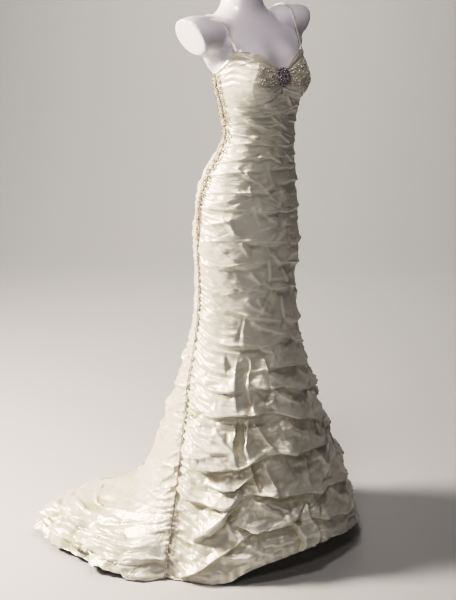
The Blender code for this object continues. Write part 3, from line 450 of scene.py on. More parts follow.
def shaped(angle, z, ledges, tucks=(), creases=(), lapped=1.0, rolled=False):
    """The listed folds: how far the cloth stands out, and how far it slips down."""
    out = np.zeros(angle.shape)
    slip = np.zeros(angle.shape)
    wide = np.radians(1.0) * steps(z, ((0.0, 0.31), (0.3, 0.245), (0.5, 0.19), (0.7, 0.15), (1.0, 0.145), (1.2, 0.10), (1.4, 0.12)))
    for k, (depth, soft, points) in enumerate(ledges):
        pts = np.array(sorted(points), float)
        wave = 2 * math.pi * (k * 0.618 % 1)
        if rolled:
            depth = depth * (0.92 + 0.22 * np.sin(angle / 12.0 + wave) + 0.10 * np.sin(angle / 5.1 + 2.3 * wave))
            depth = depth * np.clip((180 - np.abs(angle)) / 7.0, 0, 1) ** 0.5 * np.clip((np.abs(angle) - 90) / 7.0, 0, 1) ** 0.5
        else:
            depth = depth * np.clip(0.86 + 0.42 * np.sin(angle / 12.0 + wave) + 0.30 * np.sin(angle / 5.1 + 2.3 * wave), 0.10, 1.5)
        line = smooth_rows(angle, pts[:, 0], pts[:, 1])
        slope = (smooth_rows(angle + 0.5, pts[:, 0], pts[:, 1]) - smooth_rows(angle - 0.5, pts[:, 0], pts[:, 1])) / wide
        over = np.clip(np.maximum(pts[0, 0] - angle, angle - pts[-1, 0]) / 9.0, 0, 1)
        share = (1 - over) ** 2
        share = share * np.clip(0.35 + np.minimum(angle - pts[0, 0], pts[-1, 0] - angle) / 14.0, 0.0, 1)
        level = np.array([pts[:, 1].mean()])
        lap = lapped * float(steps(level, ((0.0, 1.0), (0.45, 1.0), (0.60, 0.55), (0.80, 0.16), (1.4, 0.10)))[0])
        lap = lap * (0.15 + 0.85 * np.clip(np.abs(np.abs(angle) - 90.0) / 30.0, 0, 1) ** 1.2)
        depth = depth * steps(level, ((0.0, 1.15), (0.45, 1.1), (0.65, 0.66), (0.9, 0.58), (1.1, 0.62), (1.4, 0.8)))[0]
        s = (z - line) / np.sqrt(1 + slope ** 2)
        p = puff(s, soft) if rolled else ledge(s, soft, 0.0045 + 0.38 * abs(float(np.mean(depth))), lap)
        if rolled:
            low = np.clip(1 - level[0] / 0.22, 0, 1)
            depth = depth * (1 - 0.90 * low)
        out += depth * share * p
        slip += 0.55 * lap * depth * share * np.clip(p, 0, 1) / (1 + slope ** 2)
    for a, top, low, depth, width in tucks:
        lean = 1.6 * np.sin((z - low) * 40.0 + a)
        s = (angle - a - lean) / width
        along = np.clip((top - z) / 0.02, 0, 1) * np.clip((z - low) / 0.02, 0, 1)
        t = np.clip(s * 2.4 + 0.5, 0, 1)
        step = np.where(s > 0, np.exp(-np.clip(s, 0, None)), -np.exp(np.clip(s, None, 0))) * np.abs(2 * t - 1)
        out += depth * along * step
    for a0, z0, a1, z1, high, half in creases:
        middle = 0.5 * (z0 + z1)
        scale = math.radians(1) * float(steps(np.array([middle]), ((0.0, 0.31), (0.3, 0.245), (0.5, 0.19), (0.7, 0.15), (1.0, 0.145), (1.2, 0.10)))[0])
        dx, dz = (a1 - a0) * scale, z1 - z0
        length = math.hypot(dx, dz)
        px, pz = (angle - a0) * scale, z - z0
        t = (px * dx + pz * dz) / length ** 2
        away = (px * dz - pz * dx) / length
        bend = away + 0.12 * length * (t - 0.5) ** 2
        fade = np.clip(t / 0.2, 0, 1) * np.clip((1 - t) / 0.2, 0, 1)
        out += (1.25 if middle < 1.08 else 1.7) * high * fade * np.exp(-np.abs(bend) / half)
    return out, slip


def weights_along(rest, k, p, axis, parity, hop):
    """One sweep of distance ties between points hop apart along an axis."""
    q = p if axis == 0 else p.swapaxes(0, 1)
    r = rest if axis == 0 else rest.T
    n = q.shape[0] - hop
    for start in parity:
        rows = np.arange(start, n, 2 * hop)
        if hop > 1:
            rows = np.concatenate([np.arange(start + m, n, 2 * hop) for m in range(hop)]) if start == 0 else np.concatenate(
                [np.arange(hop + m, n, 2 * hop) for m in range(hop)])
        if len(rows) == 0:
            continue
        d = q[rows + hop] - q[rows]
        size = np.sqrt((d * d).sum(-1)) + 1e-9
        c = (0.5 * k * (size - r[rows]) / size)[..., None] * d
        q[rows] += c
        q[rows + hop] -= c


def slant_ties(p, rest_a, rest_b, k):
    for par in (0, 1):
        for (sa, sb, rest) in (((slice(par, -1, 2), slice(0, -1)), (slice(par + 1, None, 2), slice(1, None)), rest_a),
                               ((slice(par, -1, 2), slice(1, None)), (slice(par + 1, None, 2), slice(0, -1)), rest_b)):
            d = p[sb] - p[sa]
            size = np.sqrt((d * d).sum(-1)) + 1e-9
            c = (0.25 * k * (size - rest[par::2][: d.shape[0]]) / size)[..., None] * d
            p[sa] += c
            p[sb] -= c


def relax(p, rest, held, body, cap, low, loops, bend, keep, weight):
    """Lets a grid of cloth settle to its edge lengths: it resists bending, rests on the body, stays
    under its cap and keeps near its given folds."""
    rv, rh = rest
    rv2, rh2 = rv[1:] + rv[:-1], rh[:, 1:] + rh[:, :-1]
    mv = (rv[:, 1:] + rv[:, :-1]) / 2
    grow = mv / (np.linalg.norm(p[1:] - p[:-1], axis=-1)[:, 1:] + 1e-9)
    falls = np.linalg.norm(p[1:, 1:] - p[:-1, :-1], axis=-1) * np.clip(grow, 1.0, 1.05)
    rises = np.linalg.norm(p[1:, :-1] - p[:-1, 1:], axis=-1) * np.clip(grow, 1.0, 1.05)
    start, pins, was = p.copy(), p[held].copy(), p.copy()
    for loop in range(loops):
        step = (p - was) * 0.82
        size = np.sqrt((step * step).sum(-1, keepdims=True)) + 1e-9
        step *= np.minimum(1, 0.003 / size)
        was = p.copy()
        p = p + step
        p[..., 2] -= weight
        p += keep * (start - p)
        weights_along(rv, 1.0, p, 0, (0, 1), 1)
        weights_along(rh, 1.0, p, 1, (0, 1), 1)
        slant_ties(p, falls, rises, 0.6)
        weights_along(rv2, bend, p, 0, (0, 1), 2)
        weights_along(rh2, bend, p, 1, (0, 1), 2)
        if loop % 2 == 1 or loop == loops - 1:
            d, n = body.look(p)
            inside = np.clip(low - d, 0, None)
            above = np.clip(d - cap, 0, None)
            p += (inside - above)[..., None] * n
            p[..., 2] = np.maximum(p[..., 2], 0.0025)
        p[held] = pins
    return p


def finer(a, rows, cols):
    """A grid resampled to more rows and columns."""
    def along(x, n):
        t = np.linspace(0, x.shape[0] - 1, n)
        i = np.minimum(t.astype(int), x.shape[0] - 2)
        f = (t - i).reshape((-1,) + (1,) * (x.ndim - 1))
        return x[i] * (1 - f) + x[i + 1] * f
    return along(along(a, rows).swapaxes(0, 1), cols).swapaxes(0, 1)


# ---------------------------------------------------------------- materials
def node(tree, kind, x, y, **sockets):
    n = tree.nodes.new(kind)
    n.location = (x, y)
    for k, v in sockets.items():
        n.inputs[k.replace("_", " ")].default_value = v
    return n


def new_material(name, colour, roughness, metallic=0.0):
    m = bpy.data.materials.new(name)
    m.use_nodes = True
    s = m.node_tree.nodes["Principled BSDF"]
    s.inputs["Base Color"].default_value = (*colour, 1)
    s.inputs["Roughness"].default_value = roughness
    s.inputs["Metallic"].default_value = metallic
    return m, s


def taffeta(name, painted_crease_shade=1.0):
    """Ivory silk taffeta: a satin sheen, slubs along the weave, fine crumple, and painted shade in the creases."""
    m, s = new_material(name, (0.80, 0.76, 0.68), 0.38)
    t = m.node_tree
    s.inputs["Anisotropic"].default_value = 0.45
    s.inputs["Metallic"].default_value = 0.18
    s.inputs["Sheen Weight"].default_value = 0.15
    s.inputs["Sheen Roughness"].default_value = 0.45
    s.inputs["Sheen Tint"].default_value = (1.0, 0.97, 0.9, 1)
    s.inputs["Specular IOR Level"].default_value = 1.0
    where = node(t, "ShaderNodeTexCoord", -1500, 0)
    # Broad tone changes at random, and painted shade: a darker olive tint mixed into the colour where the cloth tucks
    # into creases.
    broad = node(t, "ShaderNodeTexNoise", -1100, 350, Scale=7.0, Detail=3.0, Roughness=0.55)
    t.links.new(where.outputs["Object"], broad.inputs["Vector"])
    tone = t.nodes.new("ShaderNodeValToRGB")
    tone.location = (-850, 350)
    tone.color_ramp.elements[0].position, tone.color_ramp.elements[0].color = 0.30, (0.80, 0.755, 0.665, 1)
    tone.color_ramp.elements[1].position, tone.color_ramp.elements[1].color = 0.72, (0.885, 0.855, 0.785, 1)
    t.links.new(broad.outputs["Fac"], tone.inputs["Fac"])
    crease = node(t, "ShaderNodeAttribute", -1100, 120)
    crease.attribute_name = "crease"
    painted_shade = t.nodes.new("ShaderNodeMapRange")
    painted_shade.location = (-850, 120)
    painted_shade.inputs["From Min"].default_value, painted_shade.inputs["From Max"].default_value = 0.5, 1.0
    painted_shade.inputs["To Min"].default_value, painted_shade.inputs["To Max"].default_value = 0.0, 0.75 * painted_crease_shade
    t.links.new(crease.outputs["Fac"], painted_shade.inputs["Value"])
    mix = t.nodes.new("ShaderNodeMix")
    mix.data_type, mix.blend_type = "RGBA", "MIX"
    mix.location = (-550, 300)
    t.links.new(painted_shade.outputs["Result"], mix.inputs[0])
    t.links.new(tone.outputs["Color"], mix.inputs[6])
    # The painted shade's olive colour, reached in the tucks.
    mix.inputs[7].default_value = (0.60, 0.54, 0.36, 1)
    t.links.new(mix.outputs[2], s.inputs["Base Color"])
    # Slubs: long thin lines across the cloth, from its own coordinates; crumple in between.
    uv = node(t, "ShaderNodeMapping", -1300, -250)
    uv.inputs["Scale"].default_value = (14.0, 420.0, 1.0)
    t.links.new(where.outputs["UV"], uv.inputs["Vector"])
    slub = node(t, "ShaderNodeTexNoise", -1100, -250, Scale=1.0, Detail=2.0, Roughness=0.6)
    t.links.new(uv.outputs["Vector"], slub.inputs["Vector"])
    crumple = node(t, "ShaderNodeTexNoise", -1100, -500, Scale=85.0, Detail=4.0, Roughness=0.62, Distortion=0.6)
    t.links.new(where.outputs["Object"], crumple.inputs["Vector"])
    b1 = node(t, "ShaderNodeBump", -550, -250, Strength=0.20, Distance=0.0006)
    t.links.new(slub.outputs["Fac"], b1.inputs["Height"])
    b2 = node(t, "ShaderNodeBump", -300, -250, Strength=0.22, Distance=0.0014)
    t.links.new(crumple.outputs["Fac"], b2.inputs["Height"])
    t.links.new(b1.outputs["Normal"], b2.inputs["Normal"])
    last = b2
    # The crush: small flat facets that meet in thin ridges, at two sizes.
    warp = node(t, "ShaderNodeTexNoise", -1300, -760, Scale=9.0, Detail=2.0)
    t.links.new(where.outputs["Object"], warp.inputs["Vector"])
    shift = t.nodes.new("ShaderNodeVectorMath")
    shift.operation, shift.location = "MULTIPLY_ADD", (-1100, -760)
    shift.inputs[1].default_value = (0.05, 0.05, 0.05)
    t.links.new(warp.outputs["Color"], shift.inputs[0])
    t.links.new(where.outputs["Object"], shift.inputs[2])
    flatten = node(t, "ShaderNodeMapping", -900, -760)
    flatten.inputs["Scale"].default_value = (1.0, 1.0, 1.5)
    t.links.new(shift.outputs["Vector"], flatten.inputs["Vector"])
    for scale, distance, strength in ((20.0, 0.0045, 0.34), (46.0, 0.0016, 0.20)):
        cell = node(t, "ShaderNodeTexVoronoi", -700, -760, Scale=scale, Randomness=1.0)
        t.links.new(flatten.outputs["Vector"], cell.inputs["Vector"])
        b3 = node(t, "ShaderNodeBump", -200, -500, Strength=strength, Distance=distance)
        t.links.new(cell.outputs["Distance"], b3.inputs["Height"])
        t.links.new(last.outputs["Normal"], b3.inputs["Normal"])
        last = b3
    # Fine gathers that run in from the side seams.
    pull = node(t, "ShaderNodeAttribute", -1100, -1000)
    pull.attribute_name = "gather"
    lines = node(t, "ShaderNodeMapping", -1300, -1200)
    lines.inputs["Scale"].default_value = (15.0, 150.0, 1.0)
    t.links.new(where.outputs["UV"], lines.inputs["Vector"])
    gathers = node(t, "ShaderNodeTexNoise", -1100, -1200, Scale=1.0, Detail=1.5, Roughness=0.55, Distortion=0.4)
    t.links.new(lines.outputs["Vector"], gathers.inputs["Vector"])
    high = t.nodes.new("ShaderNodeMath")
    high.operation, high.location = "MULTIPLY", (-850, -1100)
    t.links.new(gathers.outputs["Fac"], high.inputs[0])
    t.links.new(pull.outputs["Fac"], high.inputs[1])
    b4 = node(t, "ShaderNodeBump", 0, -700, Strength=0.8, Distance=0.0034)
    t.links.new(high.outputs["Value"], b4.inputs["Height"])
    t.links.new(last.outputs["Normal"], b4.inputs["Normal"])
    t.links.new(b4.outputs["Normal"], s.inputs["Normal"])
    rough = t.nodes.new("ShaderNodeMapRange")
    rough.location = (-550, -20)
    rough.inputs["To Min"].default_value, rough.inputs["To Max"].default_value = 0.30, 0.46
    t.links.new(slub.outputs["Fac"], rough.inputs["Value"])
    t.links.new(rough.outputs["Result"], s.inputs["Roughness"])
    return m


TAFFETA = taffeta("ivory_taffeta")
TRAIN_TAFFETA = TAFFETA


def grid_object(name, p, uv, crease, material, split=None, gather=None):
    """A smooth mesh from a grid of points, with cloth coordinates and its crease values.
    Above the split row only every other column is kept."""
    rows, cols = p.shape[:2]
    used = np.ones((rows, cols), bool)
    if split:
        used[:split, 1::2] = False
    index = np.full((rows, cols), -1)
    index[used] = np.arange(used.sum())
    if split:
        up, row, low = index[:split, ::2], index[split - 1:split + 1], index[split:]
        q = [np.stack([g[:-1, :-1], g[1:, :-1], g[1:, 1:], g[:-1, 1:]], -1).reshape(-1, 4) for g in (up, low)]
        five = np.stack([row[0, :-2:2], row[1, :-2:2], row[1, 1::2], row[1, 2::2], row[0, 2::2]], -1)
        parts = [(q[0], 4), (five, 5), (q[1], 4)]
    else:
        parts = [(np.stack([index[:-1, :-1], index[1:, :-1], index[1:, 1:], index[:-1, 1:]], -1).reshape(-1, 4), 4)]
    loops = np.concatenate([f.reshape(-1) for f, _ in parts]).astype(np.int32)
    sizes = np.concatenate([np.full(len(f), n) for f, n in parts]).astype(np.int32)
    mesh = bpy.data.meshes.new(name)
    mesh.vertices.add(int(used.sum()))
    mesh.vertices.foreach_set("co", p[used].reshape(-1).astype(np.float32))
    mesh.loops.add(len(loops))
    mesh.loops.foreach_set("vertex_index", loops)
    mesh.polygons.add(len(sizes))
    mesh.polygons.foreach_set("loop_start", np.concatenate([[0], np.cumsum(sizes)[:-1]]).astype(np.int32))
    mesh.polygons.foreach_set("loop_total", sizes)
    layer = mesh.uv_layers.new(name="cloth")
    layer.data.foreach_set("uv", uv[used][loops].reshape(-1).astype(np.float32))
    att = mesh.attributes.new("crease", "FLOAT", "POINT")
    att.data.foreach_set("value", crease[used].reshape(-1).astype(np.float32))
    att = mesh.attributes.new("gather", "FLOAT", "POINT")
    att.data.foreach_set("value", (crease * 0 if gather is None else gather)[used].reshape(-1).astype(np.float32))
    mesh.update(calc_edges=True)
    mesh.materials.append(material)
    mesh.shade_smooth()
    obj = bpy.data.objects.new(name, mesh)
    bpy.context.scene.collection.objects.link(obj)
    return obj


def creases(p, n):
    """0 on a ridge, 0.5 on the flat, 1 in a tuck, from two scales of bending; the taffeta paints shade into the tucks
    from it.
    """
    total = np.zeros(p.shape[:2])
    for hop, gain in ((3, 60.0), (8, 26.0)):
        q = np.pad(p, ((hop, hop), (hop, hop), (0, 0)), mode="edge")
        mean = (q[2 * hop:, hop:-hop] + q[:-2 * hop, hop:-hop] + q[hop:-hop, 2 * hop:] + q[hop:-hop, :-2 * hop]) / 4
        total += gain * ((mean - p) * n).sum(-1)
    return np.clip(0.5 + total, 0, 1)


def grid_normals(p):
    a = np.gradient(p, axis=1)
    b = np.gradient(p, axis=0)
    n = np.cross(b, a)
    return n / (np.linalg.norm(n, axis=-1, keepdims=True) + 1e-12)


# ---------------------------------------------------------------- the ruched panels
BODY = Body()
CAP = ((0.0, 0.030), (0.10, 0.036), (0.30, 0.036), (0.45, 0.030), (0.60, 0.020), (0.80, 0.0150), (1.00, 0.0120),
       (1.10, 0.0090), (1.20, 0.0055), (1.40, 0.0050))
RELAX = True
SLACK = (0.030, 0.016, 0.008)
CRISP = (0.0034, 0.0013)
SPLIT_Z = 0.62


def down_scale(size_table):
    """Heights, and the same heights counted in cells that grow by the table."""
    zs = np.linspace(0, 1.5, 400)
    return zs, np.concatenate([[0], np.cumsum(np.diff(zs) / steps((zs[1:] + zs[:-1]) / 2, size_table))])


def facets(x, v, wide, high, seed):
    """A height for each point, on a crumpled surface of flat triangles about wide by high metres."""
    rs = np.random.RandomState(seed)
    x0, v0 = x.min() - wide, v.min() - high
    nx, nv = int((x.max() - x0) / wide) + 3, int((v.max() - v0) / high) + 3
    px = x0 + wide * (np.arange(nx)[None] + 0.5 * (np.arange(nv)[:, None] % 2) - 0.5 + rs.uniform(-0.34, 0.34, (nv, nx)))
    pv = v0 + high * (np.arange(nv)[:, None] + rs.uniform(-0.34, 0.34, (nv, nx)) - 0.5)
    ph = rs.uniform(-1, 1, (nv, nx))
    flip = rs.rand(nv, nx) > 0.5
    out = np.zeros(x.shape)
    level = np.ptp(x, axis=0).max() < 1e-9
    cols = x[0]
    for i in range(nv - 1):
        lo, hi = pv[i:i + 2].min(), pv[i:i + 2].max()
        rows = np.where((v.max(1) >= lo) & (v.min(1) <= hi))[0]
        if not len(rows):
            continue
        r0, r1 = rows[0], rows[-1] + 1
        for j in range(nx - 1):
            q = [(i, j), (i, j + 1), (i + 1, j + 1), (i + 1, j)]
            tris = ((0, 1, 2), (0, 2, 3)) if flip[i, j] else ((0, 1, 3), (1, 2, 3))
            xs = [px[k] for k in q]
            if level:
                c0, c1 = np.searchsorted(cols, min(xs)), np.searchsorted(cols, max(xs), side="right")
            else:
                c0 = min(np.searchsorted(x[r], min(xs)) for r in (r0, r1 - 1))
                c1 = max(np.searchsorted(x[r], max(xs), side="right") for r in (r0, r1 - 1))
            if c0 >= c1:
                continue
            sx, sv = x[r0:r1, c0:c1], v[r0:r1, c0:c1]
            for t in tris:
                (xa, va, ha), (xb, vb, hb), (xc, vc, hc) = [(px[q[k]], pv[q[k]], ph[q[k]]) for k in t]
                det = (vb - vc) * (xa - xc) + (xc - xb) * (va - vc)
                if abs(det) < 1e-12:
                    continue
                la = ((vb - vc) * (sx - xc) + (xc - xb) * (sv - vc)) / det
                lb = ((vc - va) * (sx - xc) + (xa - xc) * (sv - vc)) / det
                inside = (la >= -1e-9) & (lb >= -1e-9) & (la + lb <= 1 + 1e-9)
                block = out[r0:r1, c0:c1]
                block[inside] = (ha * la + hb * lb + hc * (1 - la - lb))[inside]
    return out


def row_spread(t):
    """Rows closer together up at the bodice than down at the hem."""
    return t - 0.10 * np.sin(math.pi * t)


def strewn(a, z, seed, a0, a1, count):
    """Short sharp creases strewn over a panel, straight or slightly bent, larger towards the hem."""
    rs = np.random.RandomState(seed)
    out = np.zeros(z.shape)
    for _ in range(count):
        high_up, turned = 0.05 + 1.15 * rs.rand() ** 1.1, rs.uniform(a0, a1)
        size = float(np.interp(high_up, (0.0, 0.3, 0.6, 1.0, 1.2), (1.35, 1.25, 1.0, 0.70, 0.50)))
        per = math.radians(1) * float(np.interp(high_up, (0.0, 0.3, 0.5, 0.7, 1.0, 1.2), (0.31, 0.245, 0.19, 0.15, 0.145, 0.10)))
        length = rs.uniform(0.045, 0.130) * size
        turn = rs.choice([-1, 1]) * math.radians(rs.uniform(15, 75))
        dx, dz = length * math.cos(turn), length * math.sin(turn)
        px, pz = (a - turned) * per, z - high_up
        t = (px * dx + pz * dz) / length ** 2
        away = (px * dz - pz * dx) / length + rs.uniform(-0.08, 0.08) * length * np.sin(math.pi * np.clip(t, 0, 1))
        fade = np.clip(np.minimum(t, 1 - t) * 4, 0, 1)
        half = rs.uniform(0.0034, 0.0056) * size
        high = rs.choice([1, 1, -1]) * rs.uniform(0.0014, 0.0030) * size
        side = np.where(away > 0, half * rs.uniform(0.6, 2.4), half)
        out += high * fade * fade * (3 - 2 * fade) * np.exp(-np.abs(away) / side)
    return out


def edge_lengths(p):
    return np.linalg.norm(np.diff(p, axis=0), axis=-1), np.linalg.norm(np.diff(p, axis=1), axis=-1)


def ruched(name, a0, a1, rows, cols, top, bottom, ledges, tucks, slant, seed, fan_sides, lapped=1.0, radius=0.15):
    levels = [(rows // 4, cols // 4), (rows // 2, cols // 2), (rows, cols | 1)]

    def grid(nr, nc):
        ang = np.linspace(a0, a1, nc)
        t = row_spread(np.linspace(0, 1, nr))[:, None]
        z = top(ang)[None] * (1 - t) + bottom(ang)[None] * t
        return np.repeat(ang[None], nr, axis=0), z

    def first(nr, nc):
        """The given shape on a grid of this many points."""
        a, z = grid(nr, nc)
        out, slip = shaped(a, z, ledges, tucks, slant, lapped, name != "front")
        out = out * steps(z, ((0.0, 1.0), (1.05, 1.0), (1.15, 1.4), (1.4, 1.5)))
        lam = steps(z, ((0.0, 0.036), (0.3, 0.032), (0.6, 0.026), (1.0, 0.019), (1.15, 0.014), (1.4, 0.012)))
        amp = steps(z, ((0.0, 0.0060), (0.3, 0.0064), (0.6, 0.0044), (0.8, 0.0026), (1.0, 0.0018), (1.15, 0.0012), (1.4, 0.0010)))
        amp = amp * (1.15 if name == "front" else 1.5)
        near = np.full(z.shape, 999.0)
        for k in range(3):
            wob = noise(z.shape, (34 + 9 * k, 5), seed + 5 + k, 2)
            mask = np.clip(0.55 + 0.75 * noise(z.shape, (30 + 14 * (k == 2), 7), seed + 15 + k), 0.05, 1.5)
            for side, reach, fall in fan_sides:
                away = np.abs(a - side)
                near = np.minimum(near, away)
                drift = fall * (1 - np.exp(-away / 16.0)) * steps(z, ((0.0, 1.2), (0.5, 1.0), (1.0, 0.6), (1.4, 0.3)))
                phase = 2 * math.pi * (z + drift * (1.0 + 0.25 * k)) / (lam * (0.80, 1.45, 0.50)[k]) + 3.0 * wob
                ridge = 1 - 2 * np.abs(np.sin(phase / 2)) ** 0.75
                held_in = 0.30 + 0.70 * np.clip(away / 4.0, 0, 1)
                out = out + held_in * (0.85, 0.85, 0.60)[k] * amp * mask * ridge * np.exp(-away / (reach * (0.60, 1.25, 0.42)[k] * (0.6 + 0.5 * mask)))
        # Crisp facets: broad ones over the panel, narrow ones that run in from the side seams.
        x = np.radians(a) * radius
        slope = x * 0.0
        for side, reach, fall in fan_sides:
            slope = slope + fall * (1 - np.exp(-np.abs(a - side) / 14.0)) * 0.8
        middle = 1 - np.exp(-(near / 22.0) ** 2)
        size = steps(z, ((0.0, 1.5), (0.3, 1.4), (0.5, 1.2), (0.8, 0.95), (1.0, 0.66), (1.15, 0.30), (1.4, 0.26)))
        patch = np.clip(0.75 + 0.6 * noise(z.shape, (9, 5), seed + 61), 0.15, 1.4)
        patch2 = np.clip(0.70 + 0.8 * noise(z.shape, (16, 8), seed + 67), 0.05, 1.5)
        v = np.interp(z, *down_scale(size_table=((0.0, 1.5), (0.3, 1.4), (0.5, 1.2), (0.8, 1.0), (1.0, 0.72), (1.15, 0.36), (1.4, 0.30))))
        big = facets(x, v, 0.070, 0.046, seed + 1)
        mid = facets(x, v, 0.030, 0.021, seed + 2)
        fine = facets(x, v, 0.014, 0.0095, seed + 3)
        long = facets(x, np.interp(z + slope, *down_scale(((0.0, 1.0), (1.4, 0.5)))), 0.075, 0.015, seed + 4)
        out = out + size * (0.0072 * big * middle * patch + 0.0030 * mid * (0.35 + 0.65 * middle) * patch2 + 0.0007 * fine * patch) \
            + steps(z, ((0.0, 0.0030), (0.5, 0.0026), (1.0, 0.0016), (1.15, 0.0012), (1.4, 0.0010))) * long * (1.15 - middle)
        p = plain(a, z) + facing(a, z) * out[..., None]
        p[..., 2] -= slip
        return a, z, p

    def blurred(q, times):
        for _ in range(times):
            e = np.pad(q, ((1, 1), (1, 1), (0, 0)), mode="edge")
            q = (4 * q + 2 * (e[2:, 1:-1] + e[:-2, 1:-1] + e[1:-1, 2:] + e[1:-1, :-2])
                 + e[2:, 2:] + e[:-2, :-2] + e[2:, :-2] + e[:-2, 2:]) / 16
        return q

    p = None
    a, z, whole = first(*levels[-1])
    for k, (nr, nc) in enumerate(levels):
        a, z = grid(nr, nc)
        times = (6, 2, 0)[k + 3 - len(levels)]
        shape = finer(blurred(whole, times), nr, nc) if times else whole
        base = plain(a, z)
        if p is None:
            p = shape
        else:
            p = finer(p, nr, nc) + (shape - finer(coarse, nr, nc))
        coarse = shape
        held = np.zeros(z.shape, bool)
        held[:, 0] = held[:, -1] = held[0] = True
        edge = 0.0009 * np.sin(2 * math.pi * z / 0.011) + 0.0006 * np.sin(2 * math.pi * z / 0.037)
        p = np.where(held[..., None], base + facing(a, z) * (0.0012 + np.where(held, edge, 0))[..., None], p)
        if RELAX:
            near = np.minimum(np.abs(a - a0), np.abs(a - a1))
            slack_v = SLACK[k] * (1 + 1.0 * np.exp(-near / 16.0)) * steps(z, ((0.0, 1.5), (0.5, 1.3), (0.75, 0.5), (1.0, 0.2), (1.4, 0.1)))
            slack_h = SLACK[k] * 0.7 * steps(z, ((0.0, 1.6), (0.5, 1.2), (0.75, 0.6), (1.0, 0.3), (1.4, 0.1)))
            lv, lh = edge_lengths(p)
            keep = steps(z, ((0.0, 0.05), (0.45, 0.06), (0.65, 0.12), (0.8, 0.22), (1.0, 0.30), (1.4, 0.40)))[..., None]
            p = relax(p, (lv * (1 + slack_v[1:]), lh * (1 + slack_h[:, 1:])), held, BODY, steps(z, CAP), -0.0012,
                      (50, 36, 20)[k], (0.05, 0.02, 0.0)[k], keep, 0.00003)
    n = grid_normals(p)
    n *= np.sign((n * facing(a, z)).sum(-1, keepdims=True).mean())
    near = np.minimum(np.abs(a - a0), np.abs(a - a1))
    x = np.radians(a) * radius
    v = np.interp(z, *down_scale(((0.0, 1.5), (0.3, 1.35), (0.5, 1.2), (0.8, 1.0), (1.0, 0.80), (1.15, 0.55), (1.4, 0.45))))
    tilt = np.clip(0.9 + 0.7 * noise(z.shape, (14, 6), seed + 71), 0.1, 1.6)
    crisp = CRISP[0] * facets(x + 0.45 * v, v, 0.052, 0.032, seed + 7) + CRISP[1] * facets(x - 0.5 * v, v, 0.022, 0.014, seed + 8) * tilt
    if name != "front":
        crisp = crisp * (1.25 + 1.6 * np.clip(1 - z / 0.30, 0, 1))
    crisp = crisp * steps(z, ((0.0, 1.25), (0.3, 1.25), (0.5, 1.15), (0.8, 1.0), (1.0, 0.8), (1.15, 0.5), (1.4, 0.42)))
    crisp = crisp + strewn(a, z, seed + 41, a0, a1, 120 if name == "front" else 90)
    crisp = crisp * np.clip((z - 0.03) / 0.05, 0, 1)
    if name != "front":
        # Where the train spreads on the floor the crumples are laid out over the cloth itself.
        u = np.cumsum(np.concatenate([np.zeros((z.shape[0], 1)), edge_lengths(base)[1]], axis=1), axis=1)
        w = np.cumsum(np.concatenate([np.zeros((1, z.shape[1])), edge_lengths(base)[0]]), axis=0)
        spread = np.clip(1 - z / 0.30, 0, 1) * np.clip((np.hypot(base[..., 0], base[..., 1]) - 0.30) / 0.12, 0, 1)
        crumple = 0.0200 * facets(u + 0.35 * w, w - 0.25 * u, 0.105, 0.062, seed + 21) \
            + 0.0115 * facets(u - 0.40 * w, w, 0.046, 0.030, seed + 22) + 0.0045 * facets(u, w + 0.3 * u, 0.020, 0.015, seed + 23)
        crisp = crisp * (1 - spread) + crumple * spread
    p = p + n * (crisp * np.clip(near / 7.0, 0, 1))[..., None]
    p[..., 2] = np.maximum(p[..., 2], 0.0025)
    n = grid_normals(p)
    n *= np.sign((n * facing(a, z)).sum(-1, keepdims=True).mean())
    across = np.cumsum(np.concatenate([np.zeros((a.shape[0], 1)), edge_lengths(base)[1]], axis=1), axis=1)
    uv = np.stack([across - across[:, a.shape[1] // 2, None], np.cumsum(np.concatenate(
        [np.zeros((1, a.shape[1])), edge_lengths(p)[0]]), axis=0)], -1)
    reach = steps(z, ((0.0, 16.0), (0.5, 15.0), (1.0, 15.0), (1.4, 24.0))) * (1.0 if name == "front" else 1.8)
    gather = np.zeros(z.shape)
    for side, _, _ in fan_sides:
        gather = np.maximum(gather, np.exp(-np.abs(a - side) / reach))
    return p, n, uv, creases(p, n), base, gather


def cloth_area(p):
    a, b = p[1:, 1:] - p[:-1, :-1], p[1:, :-1] - p[:-1, 1:]
    return float(np.linalg.norm(np.cross(a, b), axis=-1).sum() / 2)


def zero(a):
    return np.zeros(np.shape(a))


def panel_cloth(name, *args):
    p, n, uv, cr, base, gather = ruched(*args)
    middle = p.shape[1] // 2
    split = int(np.argmax(p[:, middle, 2] < SPLIT_Z))
    obj = grid_object(name, p, uv, cr, TAFFETA, split, gather)
    print(name, "area", round(cloth_area(p), 3), "plain", round(cloth_area(base), 3), "tris", len(obj.data.polygons) * 2)
    return obj, cloth_area(p), cloth_area(base), p


pieces = {}
HALF = math.degrees(0.0003 / 0.13)
pieces["front"] = panel_cloth("front_cloth", "front", -90 + HALF, 90 - HALF, 520, 267, lambda a: cup_seam(a) - 0.0006, zero,
                              FRONT_LEDGES, FRONT_TUCKS, FRONT_CREASES, 11, ((-90.0, 13.0, 0.050), (90.0, 13.0, 0.050)))
for side, a0, a1, seed in (("right", -180 + HALF, -90 - HALF, 31), ("left", 90 + HALF, 180 - HALF, 53)):
    s = 1 if side == "right" else -1
    rows = tuple((1.15 * o, w, tuple((s * x, y + 0.016 * math.sin(x * 0.31 * s + y * 23 + s) * min(1.0, 0.3 + y)) for x, y in pts))
                 for o, w, pts in BACK_LEDGES)
    pieces[f"back_{side}"] = panel_cloth(f"back_{side}_cloth", side, a0, a1, 520, 199, neckline, zero, rows, (), (), seed,
                                         ((-90.0 * s, 29.0, 0.036), ), 0.14)


